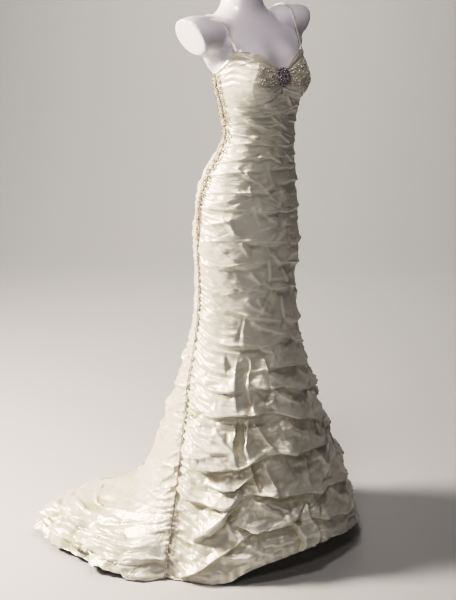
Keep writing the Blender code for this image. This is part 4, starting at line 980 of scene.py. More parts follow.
# ---------------------------------------------------------------- cups
def cup_cloth(side, s):
    """One cup: soft pleats run in from the side seam, with a folded band along the neckline."""
    rows, cols = 150, 150
    ang = np.linspace(s * (90 - HALF), CENTRE_FRONT + s * HALF, cols)
    v = np.linspace(1, 0, rows)[:, None]
    z = (cup_seam(ang) + 0.0003)[None] * (1 - v) + neckline(ang)[None] * v
    a = np.repeat(ang[None], rows, axis=0)
    v = np.repeat(v, cols, axis=1)
    u = from_centre(a) / 90.0
    wob = noise(a.shape, (5, 6), 71 + int(s), 2)
    # Pleats: a fan that starts at the side seam and climbs a little toward the middle.
    w = v * (6.6 + 2.4 * (1 - u)) + 1.0 * (1 - u) + 0.13 * wob + 0.5 * (u - 0.5) ** 2
    ridge = 1 - 2 * np.abs((w % 1.0) - 0.5) * 2
    ridge = np.sign(ridge) * np.abs(ridge) ** 0.8
    fade = steps(u, ((0.0, 0.15), (0.25, 0.35), (0.42, 0.9), (0.8, 1.1), (1.0, 0.7)))
    strength = np.clip(0.75 + 0.5 * noise(a.shape, (9, 3), 83 + int(s)), 0.2, 1.4)
    out = 0.00095 * ridge * fade * strength
    # The folded edge along the neckline, and the lap just above the seam.
    out += 0.0012 * np.exp(-((v - 0.93) / 0.035) ** 2) - 0.0010 * np.exp(-((v - 0.86) / 0.020) ** 2)
    out += 0.0008 * np.exp(-((v - 0.78 + 0.1 * u) / 0.03) ** 2) * fade
    out += 0.0016 * np.exp(-((v - 0.10 - 0.10 * (1 - u)) / 0.030) ** 2) * steps(u, ((0.0, 0.4), (0.3, 1.0), (0.7, 0.7), (1.0, 0.3)))
    # An upright fold where the pleats stop at the beaded part.
    fold = 0.40 + 0.05 * np.sin(v * 5)
    out += 0.0009 * np.exp(-np.abs(u - fold) / 0.030) * np.clip(v / 0.15, 0, 1) * np.clip((1 - v) / 0.2, 0, 1)
    # Gathers fan out from the brooch at the centre.
    spread = np.arctan2(u * 0.14, np.abs(z - 1.366) + 0.012)
    out += 0.0010 * np.sin(spread * 17 + 2 * wob) * np.exp(-u / 0.14)
    x = np.radians(a) * 0.12
    out += 0.0010 * facets(x[:, ::int(-s)] if s > 0 else x, z[::-1] if s > 0 else z, 0.018, 0.010, 91 + int(s)) * (0.3 + 0.7 * fade)
    n = facing(a, z)
    p = plain(a, z) + n * (0.0014 + out)[..., None]
    cr = creases(p, n)
    across = np.cumsum(np.concatenate([np.zeros((rows, 1)), edge_lengths(p)[1]], axis=1), axis=1)
    down = np.cumsum(np.concatenate([np.zeros((1, cols)), edge_lengths(p)[0]]), axis=0)
    obj = grid_object(f"cup_{side}_cloth", p, np.stack([across, down], -1), cr, TAFFETA)
    return obj, cloth_area(p), cloth_area(plain(a, z)), p


for side, s in (("right", -1.0), ("left", 1.0)):
    pieces[f"cup_{side}"] = cup_cloth(side, s)


# ---------------------------------------------------------------- beads, cords and stones
def bead_material(name, colour, roughness, metallic=0.0, coat=0.0, spread=0.25):
    """Beads that differ a little from one to the next."""
    m, s = new_material(name, colour, roughness, metallic)
    t = m.node_tree
    s.inputs["Coat Weight"].default_value = coat
    s.inputs["Coat Roughness"].default_value = 0.08
    where = node(t, "ShaderNodeTexCoord", -900, 0)
    cells = node(t, "ShaderNodeTexVoronoi", -700, 0, Scale=260.0)
    t.links.new(where.outputs["Object"], cells.inputs["Vector"])
    ramp = t.nodes.new("ShaderNodeValToRGB")
    ramp.location = (-450, 0)
    ramp.color_ramp.elements[0].color = (*[c * (1 - spread) for c in colour], 1)
    ramp.color_ramp.elements[1].color = (*[min(1.0, c * (1 + spread)) for c in colour], 1)
    t.links.new(cells.outputs["Color"], ramp.inputs["Fac"])
    t.links.new(ramp.outputs["Color"], s.inputs["Base Color"])
    return m


BEAD = bead_material("silver_bead", (0.95, 0.92, 0.86), 0.10, 0.15, 0.6)
PEARL = bead_material("ivory_pearl", (0.90, 0.85, 0.76), 0.22, 0.0, 0.6, 0.14)
THREAD = bead_material("lace_thread", (0.52, 0.42, 0.32), 0.55, 0.0, 0.0, 0.22)
DARK_BEAD = bead_material("bronze_bead", (0.44, 0.34, 0.29), 0.24, 0.6, 0.3, 0.5)
DARK_THREAD = bead_material("cord_thread", (0.46, 0.37, 0.29), 0.50, 0.0, 0.0, 0.35)
GEM = bead_material("crystal", (0.42, 0.33, 0.42), 0.05, 0.75, 0.9, 0.80)
SETTING = bead_material("dark_silver", (0.060, 0.045, 0.065), 0.32, 0.8, 0.0, 0.3)
SILVER = bead_material("bright_silver", (0.97, 0.93, 0.95), 0.12, 0.15, 0.6, 0.10)


def ball():
    """A small round bead's points and faces: an eight-sided ball with two rings."""
    pts, faces = [(0, 0, 1.0)], []
    for h, r in ((0.58, 0.81), (-0.30, 0.95)):
        for k in range(7):
            w = 2 * math.pi * k / 7
            pts.append((r * math.cos(w), r * math.sin(w), h))
    for k in range(7):
        j = (k + 1) % 7
        faces += [(0, 1 + k, 1 + j), (1 + k, 8 + k, 1 + j), (1 + j, 8 + k, 8 + j)]
    return np.array(pts), np.array(faces)


def stone():
    """A round-cut stone: table, eight crown facets and the girdle."""
    pts, faces = [(0, 0, 0.62)], []
    for h, r, turn in ((0.62, 0.52, 0.0), (0.12, 1.0, 0.5), (-0.25, 0.92, 0.5)):
        for k in range(8):
            w = 2 * math.pi * (k + turn) / 8
            pts.append((r * math.cos(w), r * math.sin(w), h))
    for k in range(8):
        j = (k + 1) % 8
        faces += [(0, 1 + k, 1 + j), (1 + k, 9 + k, 1 + j), (1 + j, 9 + k, 9 + j), (9 + k, 17 + k, 9 + j), (9 + j, 17 + k, 17 + j)]
    return np.array(pts), np.array(faces)


class Trim:
    """Many small things joined into one mesh, each with its own place, way out and size."""

    def __init__(self, name, materials):
        self.name, self.materials = name, materials
        self.verts, self.faces, self.slots, self.count, self.flat = [], [], [], 0, []

    def add(self, verts, faces, slot, smooth=True):
        self.verts.append(np.asarray(verts, float))
        self.faces.append(np.asarray(faces, int) + self.count)
        self.slots.append(np.full(len(faces), slot))
        self.flat.append(np.full(len(faces), smooth))
        self.count += len(verts)

    def scatter(self, shape, at, out, size, slot, squash=0.8, smooth=True, along=None, long=1.0):
        """One shape at each place; size is a radius for each."""
        pts, faces = shape
        at, out = np.atleast_2d(at), np.atleast_2d(out)
        out = out / np.linalg.norm(out, axis=1, keepdims=True)
        if along is None:
            ref = np.where(np.abs(out[:, 2:]) < 0.9, np.array([[0, 0, 1.0]]), np.array([[1.0, 0, 0]]))
            x = np.cross(ref, out)
        else:
            x = np.atleast_2d(along) - (np.atleast_2d(along) * out).sum(1, keepdims=True) * out
        x /= np.linalg.norm(x, axis=1, keepdims=True)
        y = np.cross(out, x)
        size = np.broadcast_to(np.asarray(size, float), (len(at),))
        v = at[:, None] + size[:, None, None] * (pts[None, :, :1] * long * x[:, None] + pts[None, :, 1:2] * y[:, None]
                                                 + pts[None, :, 2:] * squash * out[:, None])
        f = faces[None] + (np.arange(len(at)) * len(pts))[:, None, None]
        self.add(v.reshape(-1, 3), f.reshape(-1, 3), slot, smooth)

    def tube(self, path, out, radius, slot, sides=5, closed=False):
        """A round cord along a path, with the ways out from the cloth."""
        path, out = np.asarray(path), np.asarray(out)
        if closed:
            along = np.roll(path, -1, axis=0) - np.roll(path, 1, axis=0)
        else:
            along = np.gradient(path, axis=0)
        along /= np.linalg.norm(along, axis=1, keepdims=True) + 1e-12
        x = np.cross(along, out)
        x /= np.linalg.norm(x, axis=1, keepdims=True) + 1e-12
        y = np.cross(x, along)
        radius = np.broadcast_to(np.asarray(radius, float), (len(path),))
        w = 2 * math.pi * np.arange(sides) / sides
        v = path[:, None] + radius[:, None, None] * (np.cos(w)[None, :, None] * x[:, None] + np.sin(w)[None, :, None] * y[:, None])
        faces = []
        n = len(path)
        for i in range(n if closed else n - 1):
            for j in range(sides):
                k, i2 = (j + 1) % sides, (i + 1) % n
                faces += [(i * sides + j, i * sides + k, i2 * sides + j), (i * sides + k, i2 * sides + k, i2 * sides + j)]
        self.add(v.reshape(-1, 3), faces, slot)

    def make(self):
        verts, faces = np.concatenate(self.verts), np.concatenate(self.faces)
        mesh = bpy.data.meshes.new(self.name)
        mesh.vertices.add(len(verts))
        mesh.vertices.foreach_set("co", verts.reshape(-1).astype(np.float32))
        mesh.loops.add(faces.size)
        mesh.loops.foreach_set("vertex_index", faces.reshape(-1).astype(np.int32))
        mesh.polygons.add(len(faces))
        mesh.polygons.foreach_set("loop_start", np.arange(0, faces.size, 3, dtype=np.int32))
        mesh.polygons.foreach_set("loop_total", np.full(len(faces), 3, dtype=np.int32))
        mesh.polygons.foreach_set("material_index", np.concatenate(self.slots).astype(np.int32))
        mesh.update(calc_edges=True)
        mesh.polygons.foreach_set("use_smooth", np.concatenate(self.flat))
        for m in self.materials:
            mesh.materials.append(m)
        obj = bpy.data.objects.new(self.name, mesh)
        bpy.context.scene.collection.objects.link(obj)
        print(self.name, "tris", len(faces))
        return obj


BALL, STONE = ball(), stone()


def on_cup(a, z, lift):
    a, z = np.atleast_1d(np.asarray(a, float)), np.atleast_1d(np.asarray(z, float))
    n = facing(a, z)
    return plain(a, z) + n * lift, n


def stem(a0, z0, a1, z1, sway, count):
    """A curved stem on the dress, as angles and heights."""
    t = np.linspace(0, 1, count)
    scale = math.radians(1) * 0.115
    dx, dz = (a1 - a0) * scale, z1 - z0
    bow = sway * np.sin(math.pi * t)
    length = math.hypot(dx, dz) + 1e-9
    return a0 + (a1 - a0) * t - bow * dz / length / scale, z0 + dz * t + bow * dx / length


def lace_flower(trim, a, z, size, petals, lift, turn=0.0):
    """A round lace flower: looped petals of thread with a bead in the middle and between."""
    scale = math.radians(1) * 0.115
    w = np.linspace(0, 2 * math.pi, petals * 9, endpoint=False)
    r = size * (0.52 + 0.48 * np.abs(np.sin(w * petals / 2 + turn)))
    p, n = on_cup(a + r * np.cos(w) / scale, z + r * np.sin(w), lift)
    trim.tube(p, n, 0.00045, 0, 4, closed=True)
    p, n = on_cup(a, z, lift + 0.0004)
    trim.scatter(BALL, p, n, 0.0013, 1)
    w = 2 * math.pi * (np.arange(petals) + 0.5) / petals - turn
    p, n = on_cup(a + 0.62 * size * np.cos(w) / scale, z + 0.62 * size * np.sin(w), lift + 0.0002)
    trim.scatter(BALL, p, n, 0.0008, 2)


def cup_lace(side, s):
    """Beaded lace on the inner part of the cup: stems, flowers and a strewing of beads."""
    trim = Trim(f"cup_lace_{side}_beads", [THREAD, BEAD, PEARL])
    rs = np.random.RandomState(41 if s < 0 else 42)
    lift = 0.0034
    a_in, a_out = 7.0, (33.0 if s < 0 else 66.0)

    def inside(a, z):
        a = from_centre(a)
        u = (a - a_in) / (a_out - a_in)
        lo, hi = steps(a, CUP_SEAM), steps(a, NECKLINE)
        v = (z - lo) / (hi - lo)
        return (u > 0) & (u < 1.0 - 0.16 * np.sin(v * 9.0)) & (v > (0.42 if s < 0 else 0.30) - 0.10 * u + 0.05 * np.sin(u * 8)) & (v < 0.86 - 0.08 * u)

    flowers = []
    for _ in range(400):
        a, z = CENTRE_FRONT + s * rs.uniform(a_in, a_out), rs.uniform(1.31, 1.42)
        size = rs.uniform(0.0045, 0.0075)
        if inside(np.array([a]), np.array([z]))[0] and all(
                math.hypot((a - f[0]) * 0.002, z - f[1]) > size + f[2] + 0.0008 for f in flowers):
            flowers.append((a, z, size))
        if len(flowers) >= (10 if s < 0 else 22):
            break
    for a, z, size in flowers:
        lace_flower(trim, a, z, size, rs.choice([5, 6, 7]), lift, rs.uniform(0, 3))
        for _ in range(2):
            w = rs.uniform(0, 2 * math.pi)
            aa, zz = stem(a, z, a + 0.013 * math.cos(w) / 0.002, z + 0.013 * math.sin(w), rs.uniform(-0.004, 0.004), 9)
            if inside(aa[-1:], zz[-1:])[0]:
                p, n = on_cup(aa, zz, lift - 0.0002)
                trim.tube(p, n, 0.0004, 0, 4)
                trim.scatter(BALL, p[2::2], n[2::2], 0.0007, 1)
    a, z = CENTRE_FRONT + s * rs.uniform(a_in, a_out, 3000), rs.uniform(1.30, 1.43, 3000)
    keep = inside(a, z)
    a, z = a[keep][:(300 if s < 0 else 700)], z[keep][:(300 if s < 0 else 700)]
    p, n = on_cup(a, z, lift - 0.0004)
    size = rs.choice([0.0006, 0.0008, 0.0011], len(a), p=[0.45, 0.4, 0.15])
    half = len(a) // 2
    size[::4] = 0.0021
    trim.scatter(BALL, p[:half], n[:half], size[:half], 1)
    trim.scatter(BALL, p[half:], n[half:], size[half:], 2)
    # A net under it all, fine threads that cross.
    for k in range(22):
        for lean in (-1, 1):
            c = (k + 0.5) / 22 * (a_out - a_in + 26) + a_in - 13
            aa = CENTRE_FRONT + s * (c + lean * np.linspace(-14, 14, 40))
            zz = np.linspace(1.31, 1.42, 40)
            ok = inside(aa, zz)
            if ok.sum() > 3:
                idx = np.where(ok)[0]
                cut = np.split(idx, np.where(np.diff(idx) > 1)[0] + 1)
                for c2 in cut:
                    if len(c2) > 3:
                        p, n = on_cup(aa[c2], zz[c2], lift - 0.0010)
                        trim.tube(p, n, 0.00022, 0, 3)
    return trim.make()


laces = {f"cup_lace_{side}": cup_lace(side, s) for side, s in (("right", -1.0), ("left", 1.0))}

# ---------------------------------------------------------------- side seams
TRIM_HALF_WIDTH = (
    (0.000, 0.0026), (0.600, 0.0032), (0.800, 0.0048), (0.900, 0.0080), (1.020, 0.0125), (1.100, 0.0160),
    (1.210, 0.0185), (1.300, 0.0205), (1.365, 0.0210),
)


def seam_line(seam, z):
    """Points down a side seam, with the way out, the way across and the run along it."""
    a = np.full(z.shape, seam)
    p, n = plain(a, z), facing(a, z)
    along = np.gradient(p, axis=0)
    along /= np.linalg.norm(along, axis=1, keepdims=True)
    across = np.cross(n, along)
    run = np.concatenate([[0], np.cumsum(np.linalg.norm(np.diff(p, axis=0), axis=1))])
    return p, n, across, run


def side_trim(side, seam):
    trim = Trim(f"side_trim_{side}_beads", [DARK_THREAD, DARK_BEAD, PEARL])
    rs = np.random.RandomState(61 if seam < 0 else 62)
    top = float(neckline(np.array([seam]))[0]) - 0.001
    z = np.linspace(top, 0.004, 1500)
    p, n, across, run = seam_line(seam, z)
    half = steps(z, TRIM_HALF_WIDTH)
    lift = steps(z, ((0.0, 0.0060), (0.5, 0.0062), (0.8, 0.0042), (1.0, 0.0032), (1.4, 0.0032)))

    def at(r, side_way=0.0, up=0.0):
        """Points at runs r, off to the side by a share of the half width."""
        r = np.atleast_1d(r)
        pick = [np.interp(r, run, q) for q in (*p.T, *n.T, *across.T, half, lift)]
        base, out, x = np.stack(pick[0:3], 1), np.stack(pick[3:6], 1), np.stack(pick[6:9], 1)
        out /= np.linalg.norm(out, axis=1, keepdims=True)
        return base + x * (np.asarray(side_way) * pick[9])[:, None] + out * (pick[10] + up)[:, None], out, x

    total = run[-1]
    r = np.arange(0.001, total, 0.0022)
    wave = 2 * math.pi * r / 0.0120
    width = np.interp(r, run, half)
    for turn in (0.0, math.pi):
        q, out, x = at(r, 0.0)
        tight = np.minimum(width, 0.0028) * 0.62
        q = q + x * (tight * np.sin(wave + turn))[:, None] + out * (0.0004 * np.cos(wave + turn))[:, None]
        trim.tube(q, out, 0.0007, 0, 4)
    # A bead at each crossing of the cords.
    r2 = np.arange(0.003, total, 0.0060)
    r2 = r2 + rs.uniform(-0.0006, 0.0006, len(r2))
    q, out, x = at(r2, 0.0, 0.0007)
    size = rs.choice([0.0012, 0.0015, 0.0018], len(r2))
    odd = rs.rand(len(r2)) < 0.45
    trim.scatter(BALL, q[odd], out[odd], size[odd], 1)
    trim.scatter(BALL, q[~odd], out[~odd], size[~odd], 2)
    # Small beads strewn beside the line on the skirt.
    r3 = rs.uniform(0.30, total, 260)
    q, out, x = at(r3, 0.0, -0.0008)
    q = q + x * (rs.choice([-1, 1], len(r3)) * rs.uniform(0.0020, 0.0042, len(r3)))[:, None]
    trim.scatter(BALL, q, out, 0.0008, 1)
    # The wide beaded lace from the armhole down to the hip: scalloped edges, scrolls and strewn beads.
    wide = float(np.interp(0.92, z[::-1], run[::-1]))
    for edge in (-1.0, 1.0):
        r4 = np.arange(0.001, wide, 0.0011)
        scallop = 0.80 + 0.24 * np.abs(np.sin(math.pi * r4 / 0.0125))
        q, out, x = at(r4, edge * scallop, -0.0008)
        trim.tube(q, out, 0.0009, 0, 4)
        q, out, x = at(r4[5::11], edge * 1.04 * np.ones(len(r4[5::11])), -0.0004)
        trim.scatter(BALL, q, out, 0.0010, 2)
    for k, c in enumerate(np.arange(0.008, wide - 0.006, 0.0135)):
        s2 = 1 if k % 2 else -1
        t = np.linspace(0, 1, 22)
        turn = 1.6 * math.pi * t
        shrink = 1 - 0.75 * t
        q, out, x = at(c + 0.0052 * shrink * np.sin(turn), s2 * (0.44 + 0.44 * shrink * np.cos(turn)), 0.0)
        trim.tube(q, out, 0.0009, 0, 4)
        trim.scatter(BALL, q[::3], out[::3], 0.0013, 1)
        q, out, x = at(c + 0.0060 + rs.uniform(-0.001, 0.001, 5), -s2 * rs.uniform(0.25, 0.8, 5), 0.0)
        trim.scatter(BALL, q, out, rs.choice([0.0009, 0.0013], 5), 2)
    r5 = rs.uniform(0.0, wide, 560)
    q, out, x = at(r5, rs.uniform(-0.92, 0.92, len(r5)), -0.0006)
    trim.scatter(BALL, q[::2], out[::2], 0.0012, 1)
    trim.scatter(BALL, q[1::2], out[1::2], 0.0011, 2)
    # The net the lace is worked on.
    rr = np.linspace(0.0, wide, 150)
    for phase in np.linspace(0, 2 * math.pi, 5, endpoint=False):
        w = rr / 0.016 + phase
        q, out, x = at(rr, 0.9 * (2 * np.abs(((w / (2 * math.pi)) % 1) * 2 - 1) - 1), -0.0016)
        trim.tube(q, out, 0.0003, 0, 3)
    return trim.make()


laces["side_trim_right"] = side_trim("right", -90.0)
laces["side_trim_left"] = side_trim("left", 90.0)

# ---------------------------------------------------------------- brooch
BROOCH_Z, BROOCH_WIDE, BROOCH_TALL = 1.366, 0.039, 0.048


def brooch():
    trim = Trim("brooch_stones", [SETTING, GEM, SILVER])
    a0 = np.array([CENTRE_FRONT])
    mid = plain(a0, np.array([BROOCH_Z]))[0]
    either = plain(a0 + np.array([-9.0, 9.0]), np.array([BROOCH_Z, BROOCH_Z]))
    x = (either[1] - either[0]) / np.linalg.norm(either[1] - either[0])
    y = plain(a0, np.array([BROOCH_Z + 0.02]))[0] - plain(a0, np.array([BROOCH_Z - 0.02]))[0]
    face = np.cross(x, y)
    face /= np.linalg.norm(face)
    y = np.cross(face, x)
    centre = mid + face * 0.0085

    def dome(u, w):
        """Place and way out on the domed oval: u from the middle to the edge, w clockwise."""
        u, w = np.atleast_1d(u), np.atleast_1d(w)
        across, up = u * np.sin(w) * BROOCH_WIDE / 2, u * np.cos(w) * BROOCH_TALL / 2
        h = 0.0058 * np.sqrt(np.clip(1 - (u * 0.98) ** 2, 0, 1))
        q = centre + across[:, None] * x + up[:, None] * y + h[:, None] * face
        out = face + (across / 0.030)[:, None] * x + (up / 0.045)[:, None] * y
        return q, out / np.linalg.norm(out, axis=1, keepdims=True)

    # The back plate, with a lobed edge.
    w = np.linspace(0, 2 * math.pi, 97)[:-1]
    us = np.linspace(0.0, 1.0, 9)[1:]
    verts = [dome(0, 0)[0][0] - face * 0.0014]
    for u in us:
        lobe = 1 + (0.045 * np.cos(w * 12) if u > 0.95 else 0)
        verts += list(dome(u * lobe, w)[0] - face * 0.0014)
    faces = [(0, 1 + (k + 1) % 96, 1 + k) for k in range(96)]
    for i in range(len(us) - 1):
        for k in range(96):
            j = (k + 1) % 96
            a, b = 1 + i * 96 + k, 1 + i * 96 + j
            faces += [(a, b, a + 96), (b, b + 96, a + 96)]
    verts, faces = np.array(verts), np.array(faces)
    edge = verts[-96:] - face * 0.0035
    n = len(verts)
    verts = np.concatenate([verts, edge])
    rim = [(n - 96 + k, n - 96 + (k + 1) % 96, n + k) for k in range(96)] + [(n - 96 + (k + 1) % 96, n + (k + 1) % 96, n + k) for k in range(96)]
    trim.add(verts, np.concatenate([faces, np.array(rim)]), 0)
    # The middle stone, its ring of beads, and rings of smaller stones between.
    q, out = dome(0, 0)
    trim.scatter(STONE, q, out, 0.0048, 1, 0.9, False, np.array([y]), 1.25)
    w = np.linspace(0, 2 * math.pi, 17)[:-1]
    trim.scatter(BALL, *dome(0.36, w), 0.0010, 2)
    w = np.linspace(0, 2 * math.pi, 11)[:-1]
    q, out = dome(0.56, w)
    trim.scatter(STONE, q, out, 0.0029, 1, 0.9, False)
    w = w + math.pi / 10
    trim.scatter(BALL, *dome(0.58, w), 0.0011, 2)
    w = np.linspace(0, 2 * math.pi, 25)[:-1]
    q, out = dome(0.80, w)
    trim.scatter(STONE, q, out, np.where(np.arange(24) % 2 == 0, 0.0022, 0.0016), 1, 0.9, False)
    w = np.linspace(0, 2 * math.pi, 13)[:-1]
    q, out = dome(1.0, w)
    trim.scatter(STONE, q, out, 0.0020, 1, 0.8, False)
    w = np.linspace(0, 2 * math.pi, 49)[:-1]
    trim.scatter(BALL, *dome(0.93, w), 0.0007, 2)
    for r in (0.30, 0.44, 0.70, 0.90):
        w = np.linspace(0, 2 * math.pi, 61)[:-1]
        q, out = dome(r, w)
        trim.tube(q - out * 0.0004, out, 0.0005, 2, 4, closed=True)
    return trim.make()


laces["brooch"] = brooch()

# ---------------------------------------------------------------- straps
STRAP_WIDTH, STRAP_BACK, LEFT_RAISED = 0.0072, 146.0, 0.022
STRAP_ANGLE = {"right": 61.0, "left": 52.0}
STRAP_PATH = (
    # x      y      z, guide points pulled onto the form
    (0.1130, -0.100, 1.470), (0.1270, -0.070, 1.500), (0.1330, -0.030, 1.530), (0.1330, 0.010, 1.535),
    (0.1290, 0.050, 1.520), (0.1180, 0.085, 1.470), (0.1020, 0.100, 1.410),
)


# Painted light: a copy of the taffeta lightened toward white for the straps, which stand in shade, with a quarter of
# the painted crease shade.
STRAP_PAINTED_LIGHT = taffeta("strap_taffeta_painted_light", 0.25)
for ramp in [x for x in STRAP_PAINTED_LIGHT.node_tree.nodes if x.type == "VALTORGB"]:
    for mark in ramp.color_ramp.elements:
        mark.color = [0.40 * c + 0.60 * 0.97 for c in mark.color[:3]] + [1.0]


def strap(side, s, skin):
    """A narrow band of the same cloth, turned in at its edges, over the form's shoulder."""
    feet = []
    raised = LEFT_RAISED if s > 0 else 0.0
    for at in (STRAP_ANGLE[side], STRAP_BACK):
        a = np.array([s * at])
        feet.append(plain(a, neckline(a) + 0.0004)[0] - facing(a, neckline(a))[0] * 0.0004)
    over_form = [np.array([0.003 + s * x, y, z + raised * (z > 1.45)]) for x, y, z in STRAP_PATH]
    over_form[0] = 0.5 * feet[0] + 0.5 * over_form[1]
    guide = np.array([feet[0]] + over_form + [feet[1]])
    run = np.concatenate([[0], np.cumsum(np.linalg.norm(np.diff(guide, axis=0), axis=1))])
    count = 160
    t = np.linspace(0, run[-1], count)
    path = np.stack([smooth_rows(t, run, guide[:, k]) for k in range(3)], axis=-1)

    def clear(q, gap):
        """Points pushed out of the form, with the form's way out at each."""
        q, ways = q.copy(), np.zeros_like(q)
        for k in range(len(q)):
            spot, normal, _, _ = skin.find_nearest(Vector(q[k]))
            ways[k] = normal
            short = gap - float((Vector(q[k]) - spot).dot(normal))
            if short > 0 and 0 < k < len(q) - 1:
                q[k] += ways[k] * short
        return q, ways

    # The band is pulled taut: it crosses the hollow above the cup and lies on the shoulder.
    crest = int(np.argmax(path[:, 2]))
    rough_path = path[::4].copy()
    pin = min(range(len(rough_path)), key=lambda k: abs(4 * k - crest))
    for _ in range(260):
        pulled = rough_path.copy()
        pulled[1:-1] = (rough_path[:-2] + rough_path[2:]) / 2
        pulled[pin, :2] = 0.5 * pulled[pin, :2] + 0.5 * rough_path[pin, :2]
        rough_path, _ = clear(pulled, 0.0026)
        rough_path[pin, 0] = path[crest, 0]
    at = np.linspace(0, 1, len(rough_path))
    path = np.stack([smooth_rows(np.linspace(0, 1, count), at, rough_path[:, k]) for k in range(3)], axis=-1)
    for _ in range(30):
        path[1:-1] = (path[:-2] + 2 * path[1:-1] + path[2:]) / 4
    path, normals = clear(path, 0.0024)
    for _ in range(40):
        normals[1:-1] = (normals[:-2] + 2 * normals[1:-1] + normals[2:]) / 4
    normals /= np.linalg.norm(normals, axis=1, keepdims=True)
    along = np.gradient(path, axis=0)
    along /= np.linalg.norm(along, axis=1, keepdims=True)
    over = np.cross(along, normals)
    over /= np.linalg.norm(over, axis=1, keepdims=True)
    out = np.cross(over, along)
    out *= np.sign((out * normals).sum(axis=1, keepdims=True))
    # The section: a flat band with rounded, turned-in edges and a soft middle crease.
    section = []
    for k in range(20):
        w = 2 * math.pi * k / 20
        c, n = math.cos(w), math.sin(w)
        x = math.copysign(abs(c) ** 0.6, c)
        h = math.copysign(abs(n) ** 0.9, n)
        section.append((x, h))
    section = np.array(section)
    wide = 0.5 * STRAP_WIDTH * (1.0 + 0.10 * np.sin(t * 60) + 0.28 * np.exp(-t / 0.03) + 0.1 * np.exp(-(run[-1] - t) / 0.03))
    ripple = 0.00018 * np.sin(t[:, None] * 210 + section[None, :, 0] * 3)
    thick = 0.00085 - 0.00035 * np.exp(-(section[:, 0] / 0.35) ** 2) * (section[:, 1] > 0)
    v = path[:, None] + over[:, None] * (section[None, :, 0] * wide[:, None])[..., None] \
        + out[:, None] * (section[None, :, 1] * thick[None] + ripple)[..., None]
    v = np.concatenate([v, v[:, :1]], axis=1)
    uv = np.stack([np.repeat(np.arange(21)[None] * 0.0007, count, 0), np.repeat(t[:, None], 21, 1)], -1)
    obj = grid_object(f"strap_{side}_band", v, uv, np.full(v.shape[:2], 0.5), STRAP_PAINTED_LIGHT)
    bm = bmesh.new()
    bm.from_mesh(obj.data)
    bmesh.ops.remove_doubles(bm, verts=bm.verts, dist=0.00001)
    for ring_edges in (bmesh.ops.holes_fill(bm, edges=[e for e in bm.edges if e.is_boundary], sides=40), ):
        pass
    bmesh.ops.recalc_face_normals(bm, faces=bm.faces)
    bm.to_mesh(obj.data)
    bm.free()
    obj.data.shade_smooth()
    return obj, float(t[-1])


# ---------------------------------------------------------------- the dress form's skin
def form_skin():
    """The form's own mesh, re-made even and smooth, with soft edges at the stumps' flat ends."""
    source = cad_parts["form_torso"]
    obj = bpy.data.objects.new("form_skin", source.data.copy())
    bpy.context.scene.collection.objects.link(obj)
    bm = bmesh.new()
    bm.from_mesh(obj.data)
    bmesh.ops.remove_doubles(bm, verts=bm.verts, dist=0.00002)
    bm.to_mesh(obj.data)
    bm.free()
    fine = obj.modifiers.new("remesh", "REMESH")
    fine.mode, fine.voxel_size, fine.use_smooth_shade = "VOXEL", 0.0050, True
    soft = obj.modifiers.new("smooth", "SMOOTH")
    soft.factor, soft.iterations = 0.5, 9
    bpy.context.view_layer.update()
    mesh = bpy.data.meshes.new_from_object(obj.evaluated_get(bpy.context.evaluated_depsgraph_get()))
    obj.modifiers.clear()
    obj.data = mesh
    mesh.materials.clear()
    m, s = new_material("white_gloss_form", (0.84, 0.83, 0.87), 0.22)
    t = m.node_tree
    s.inputs["Coat Weight"].default_value = 0.35
    s.inputs["Coat Roughness"].default_value = 0.12
    where = node(t, "ShaderNodeTexCoord", -900, 0)
    cloud = node(t, "ShaderNodeTexNoise", -700, 0, Scale=9.0, Detail=3.0)
    t.links.new(where.outputs["Object"], cloud.inputs["Vector"])
    ramp = t.nodes.new("ShaderNodeValToRGB")
    ramp.location = (-450, 0)
    ramp.color_ramp.elements[0].position, ramp.color_ramp.elements[0].color = 0.3, (0.82, 0.80, 0.87, 1)
    ramp.color_ramp.elements[1].position, ramp.color_ramp.elements[1].color = 0.7, (0.87, 0.86, 0.91, 1)
    t.links.new(cloud.outputs["Fac"], ramp.inputs["Fac"])
    t.links.new(ramp.outputs["Color"], s.inputs["Base Color"])
    peel = node(t, "ShaderNodeTexNoise", -700, -300, Scale=160.0, Detail=2.0)
    t.links.new(where.outputs["Object"], peel.inputs["Vector"])
    b = node(t, "ShaderNodeBump", -300, -300, Strength=0.05, Distance=0.0004)
    t.links.new(peel.outputs["Fac"], b.inputs["Height"])
    t.links.new(b.outputs["Normal"], s.inputs["Normal"])
    mesh.materials.append(m)
    mesh.shade_smooth()
    print("form tris", len(mesh.polygons) * 2)
    return obj


form = form_skin()
skin_tree = BVHTree.FromObject(form, bpy.context.evaluated_depsgraph_get())
straps = {f"strap_{side}": strap(side, s, skin_tree) for side, s in (("right", -1.0), ("left", 1.0))}


# ---------------------------------------------------------------- the zip's tape, and the carried-over pieces
def zip_tape():
    """The closed edge of the zip down the centre back: two turned edges that meet over the teeth."""
    top, low, half = 1.3335, 0.950, 0.0034
    rows = 240
    z = np.linspace(top, low, rows)[:, None]
    x = np.linspace(-1, 1, 13)[None]
    a = 180.0 + np.degrees(half / 0.10) * x * np.ones_like(z)
    zz = z * np.ones_like(x)
    profile = 0.0016 + 0.0009 * np.exp(-((np.abs(x) - 0.42) / 0.30) ** 2) - 0.0012 * np.exp(-(x / 0.10) ** 2)
    pucker = 0.0003 * np.sin(z * 2 * math.pi / 0.009 + x * 2) + 0.0002 * np.sin(z * 2 * math.pi / 0.023)
    n = facing(a, zz)
    p = plain(a, zz) + n * (profile + pucker + 0.0010)[..., None]
    uv = np.stack([x * half * np.ones_like(z), (top - z) * np.ones_like(x)], -1)
    # Crease values of 0.95 down the middle, where the two edges meet, give painted shade there; 0.5 elsewhere leaves it
    # plain.
    return grid_object("back_zip_tape", p, uv, np.where(np.abs(x) < 0.12, 0.95, 0.5) * np.ones_like(z), TAFFETA)


tape = zip_tape()


